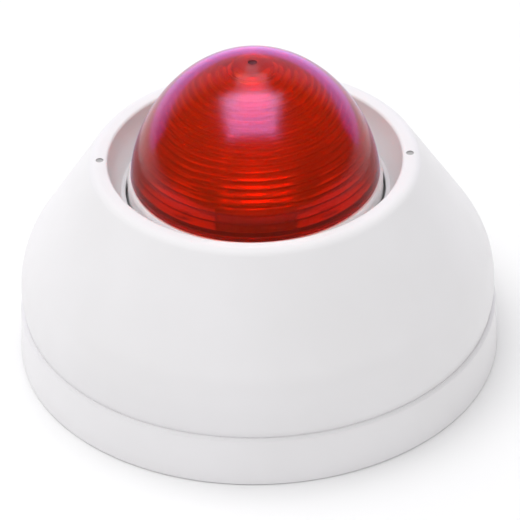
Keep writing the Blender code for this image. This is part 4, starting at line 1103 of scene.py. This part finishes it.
def smooth_line(points, per_span=6):
    """A Catmull-Rom curve through the points."""
    ends = [points[0] * 2 - points[1]] + points + [points[-1] * 2 - points[-2]]
    line = []
    for a, b, c, d in zip(ends, ends[1:], ends[2:], ends[3:]):
        for i in range(per_span):
            t = i / per_span
            rise = 2 * b + (c - a) * t + (2 * a - 5 * b + 4 * c - d) * t**2 + (3 * b - a - 3 * c + d) * t**3
            line.append(rise * 0.5)
    return line + [points[-1]]


def make_leads():
    """Two leads to the loudspeaker's tags, and two that climb inside the tower to the strobe."""
    socket, board_foot = high("strobe_connector").z + 0.3, low("strobe_board").z - 0.3
    for side, colour in ((-1, "red"), (1, "black")):
        at, aside = LEAD_DEG + side * LEAD_SPREAD_DEG, side * 1.4
        routes = {  # radius, degrees and height
            "strobe": (
                (SOCKET_RADIUS, STROBE_SOCKET_DEG + aside, socket), (38.0, 255.3 + aside, socket + 2.4),
                (35.2, 253.0 + aside, socket + 1.6), (32.0, 251.6 + aside, 13.2), (29.6, at, 15.6),
                (29.0, at, 20.0), (29.0, at, 25.0), (29.0, at, 30.0), (28.8, at, 35.5),
                (25.4, at, 40.0), (24.2, at, 43.5), (23.0, at, board_foot),
            ),
            "speaker": (
                (SOCKET_RADIUS, SPEAKER_SOCKET_DEG + aside, socket), (38.0, 244.7 + aside, socket + 2.0),
                (35.4, 246.2 + aside, socket - 0.2), (32.2, 247.2 + aside, 11.6),
                (28.0, 247.6 + aside, 11.0), (24.0, 248.0 + aside * 2, 12.0),
                (21.6, 248.0 + aside * 2.4, 14.2),
            ),
        }
        for kind, places in routes.items():
            route = [polar(*place) for place in places]
            entry = route[0] - Vector((0, 0, 1.4))
            shape = swept(smooth_line([entry] + route), LEAD_RADIUS, 14)
            stand_in(f"{kind}_lead_{colour}", shape, f"{colour}_wire")


# ---- floor, lights and camera

VIEW_DISTANCE, VIEW_ELEVATION_DEG, VIEW_ROLL_DEG = 0.96, 35.476, -1.382
VIEW_LENS, VIEW_AIM = 266.5, Vector((0.00066, 0.0, 0.02347))


def make_floor():
    half = 3.0
    shape = bmesh.new()
    corners = [(-half, -half), (half, -half), (half, half), (-half, half)]
    shape.faces.new([shape.verts.new((x, y, -0.0002)) for x, y in corners])
    floor = object_of("floor", shape)
    look = Look("pale_floor", (0.93, 0.93, 0.93), 0.6).mottled(3.0, (0.91, 0.91, 0.915))
    floor.data.materials.append(look.material)


def aim(thing, target):
    thing.rotation_euler = (target - thing.location).to_track_quat("-Z", "Y").to_euler()


def make_light(name, place, target, size, power):
    data = bpy.data.lights.new(name, "AREA")
    data.shape = "RECTANGLE"
    data.size, data.size_y = size
    data.energy = power
    light = bpy.data.objects.new(name, data)
    light.location = place
    bpy.context.scene.collection.objects.link(light)
    aim(light, Vector(target))
    light.visible_glossy = False
    return light


def only_in_gloss(light, name):
    """Make this light nothing but a reflection on the named piece."""
    light.visible_glossy = True
    light.visible_diffuse = False
    seen_on = bpy.data.collections.new(f"{light.name} is seen on")
    seen_on.objects.link(bpy.data.objects[name])
    light.light_linking.receiver_collection = seen_on


def make_world(light_strength, near_gloss, far_gloss):
    """An even white surround; shiny faces see it bright behind the siren and dim elsewhere."""
    world = bpy.data.worlds.new("studio")
    world.use_nodes = True
    nodes, links = world.node_tree.nodes, world.node_tree.links
    place = nodes.new("ShaderNodeTexCoord")
    split = nodes.new("ShaderNodeSeparateXYZ")
    fade = nodes.new("ShaderNodeValToRGB")
    for end, position, colour in zip(fade.color_ramp.elements, (0.45, 0.7), (near_gloss, far_gloss)):
        end.position, end.color = position, colour
    links.new(place.outputs["Generated"], split.inputs["Vector"])
    links.new(split.outputs["Y"], fade.inputs["Fac"])
    path = nodes.new("ShaderNodeLightPath")
    shader = nodes["Background"]
    shader.inputs["Color"].default_value = (1.0, 0.995, 1.0, 1.0)
    shader.inputs["Strength"].default_value = light_strength
    for kind in ("Is Glossy Ray", "Is Camera Ray"):
        seen = nodes.new("ShaderNodeBackground")
        if kind == "Is Glossy Ray":
            links.new(fade.outputs["Color"], seen.inputs["Color"])
        either = nodes.new("ShaderNodeMixShader")
        links.new(path.outputs[kind], either.inputs[0])
        links.new(shader.outputs[0], either.inputs[1])
        links.new(seen.outputs[0], either.inputs[2])
        shader = either
    links.new(shader.outputs[0], nodes["World Output"].inputs["Surface"])
    bpy.context.scene.world = world


def make_studio():
    make_floor()
    make_world(0.77, (0.06, 0.06, 0.06, 1.0), (0.8, 0.75, 1.0, 1.0))
    make_light("overhead", (-0.4, 0.1, 1.5), (0, 0, 0.03), (1.4, 1.4), 12.4)
    for name, x, y, size, power in (
        ("softbox", -0.04, -0.2, (0.84, 0.7), 50.0),
        ("softbox_edge", -0.04, -0.2, (1.08, 0.92), 28.0),
        ("softbox_tail", -0.02, 0.45, (0.5, 0.5), 4.0),
        ("softbox_tip", -0.02, 0.95, (0.2, 0.6), 1.0),
    ):
        height = 1.0 if name == "softbox" else 1.01
        only_in_gloss(make_light(name, (x, y, height), (x, y, 0), size, power), "lens_fine")
    behind = make_light("behind", (0, 0.3, 0.075), (0, 0, 0.075), (1.2, 0.15), 1.1)
    behind.data.color = (0.4, 0.12, 0.9)
    behind.visible_camera = False
    only_in_gloss(behind, "lens_fine")
    bpy.context.scene.view_settings.view_transform = "Standard"


def make_camera():
    data = bpy.data.cameras.new("camera")
    data.lens = VIEW_LENS
    data.sensor_width = 36.0
    data.clip_end = 20.0
    camera = bpy.data.objects.new("camera", data)
    rise, roll = math.radians(VIEW_ELEVATION_DEG), math.radians(VIEW_ROLL_DEG)
    back = Vector((0, -math.cos(rise), math.sin(rise)))
    level_up = Vector((0, math.sin(rise), math.cos(rise)))
    right = math.cos(roll) * Vector((1, 0, 0)) + math.sin(roll) * level_up
    up = -math.sin(roll) * Vector((1, 0, 0)) + math.cos(roll) * level_up
    turn = Matrix((right, up, back)).transposed().to_4x4()
    camera.matrix_world = Matrix.Translation(VIEW_AIM + back * VIEW_DISTANCE) @ turn
    bpy.context.scene.collection.objects.link(camera)
    bpy.context.scene.camera = camera


# ---- assembly

make_camera()
make_cover()
make_base()
make_screws(COVER_SCREWS, 2.9, 1.4, "zinc")
make_screws(TOWER_SCREWS, 2.7, 1.4, "zinc")
make_tower()
make_lens()
make_strobe()
make_speaker()
make_board()
make_leads()
make_studio()
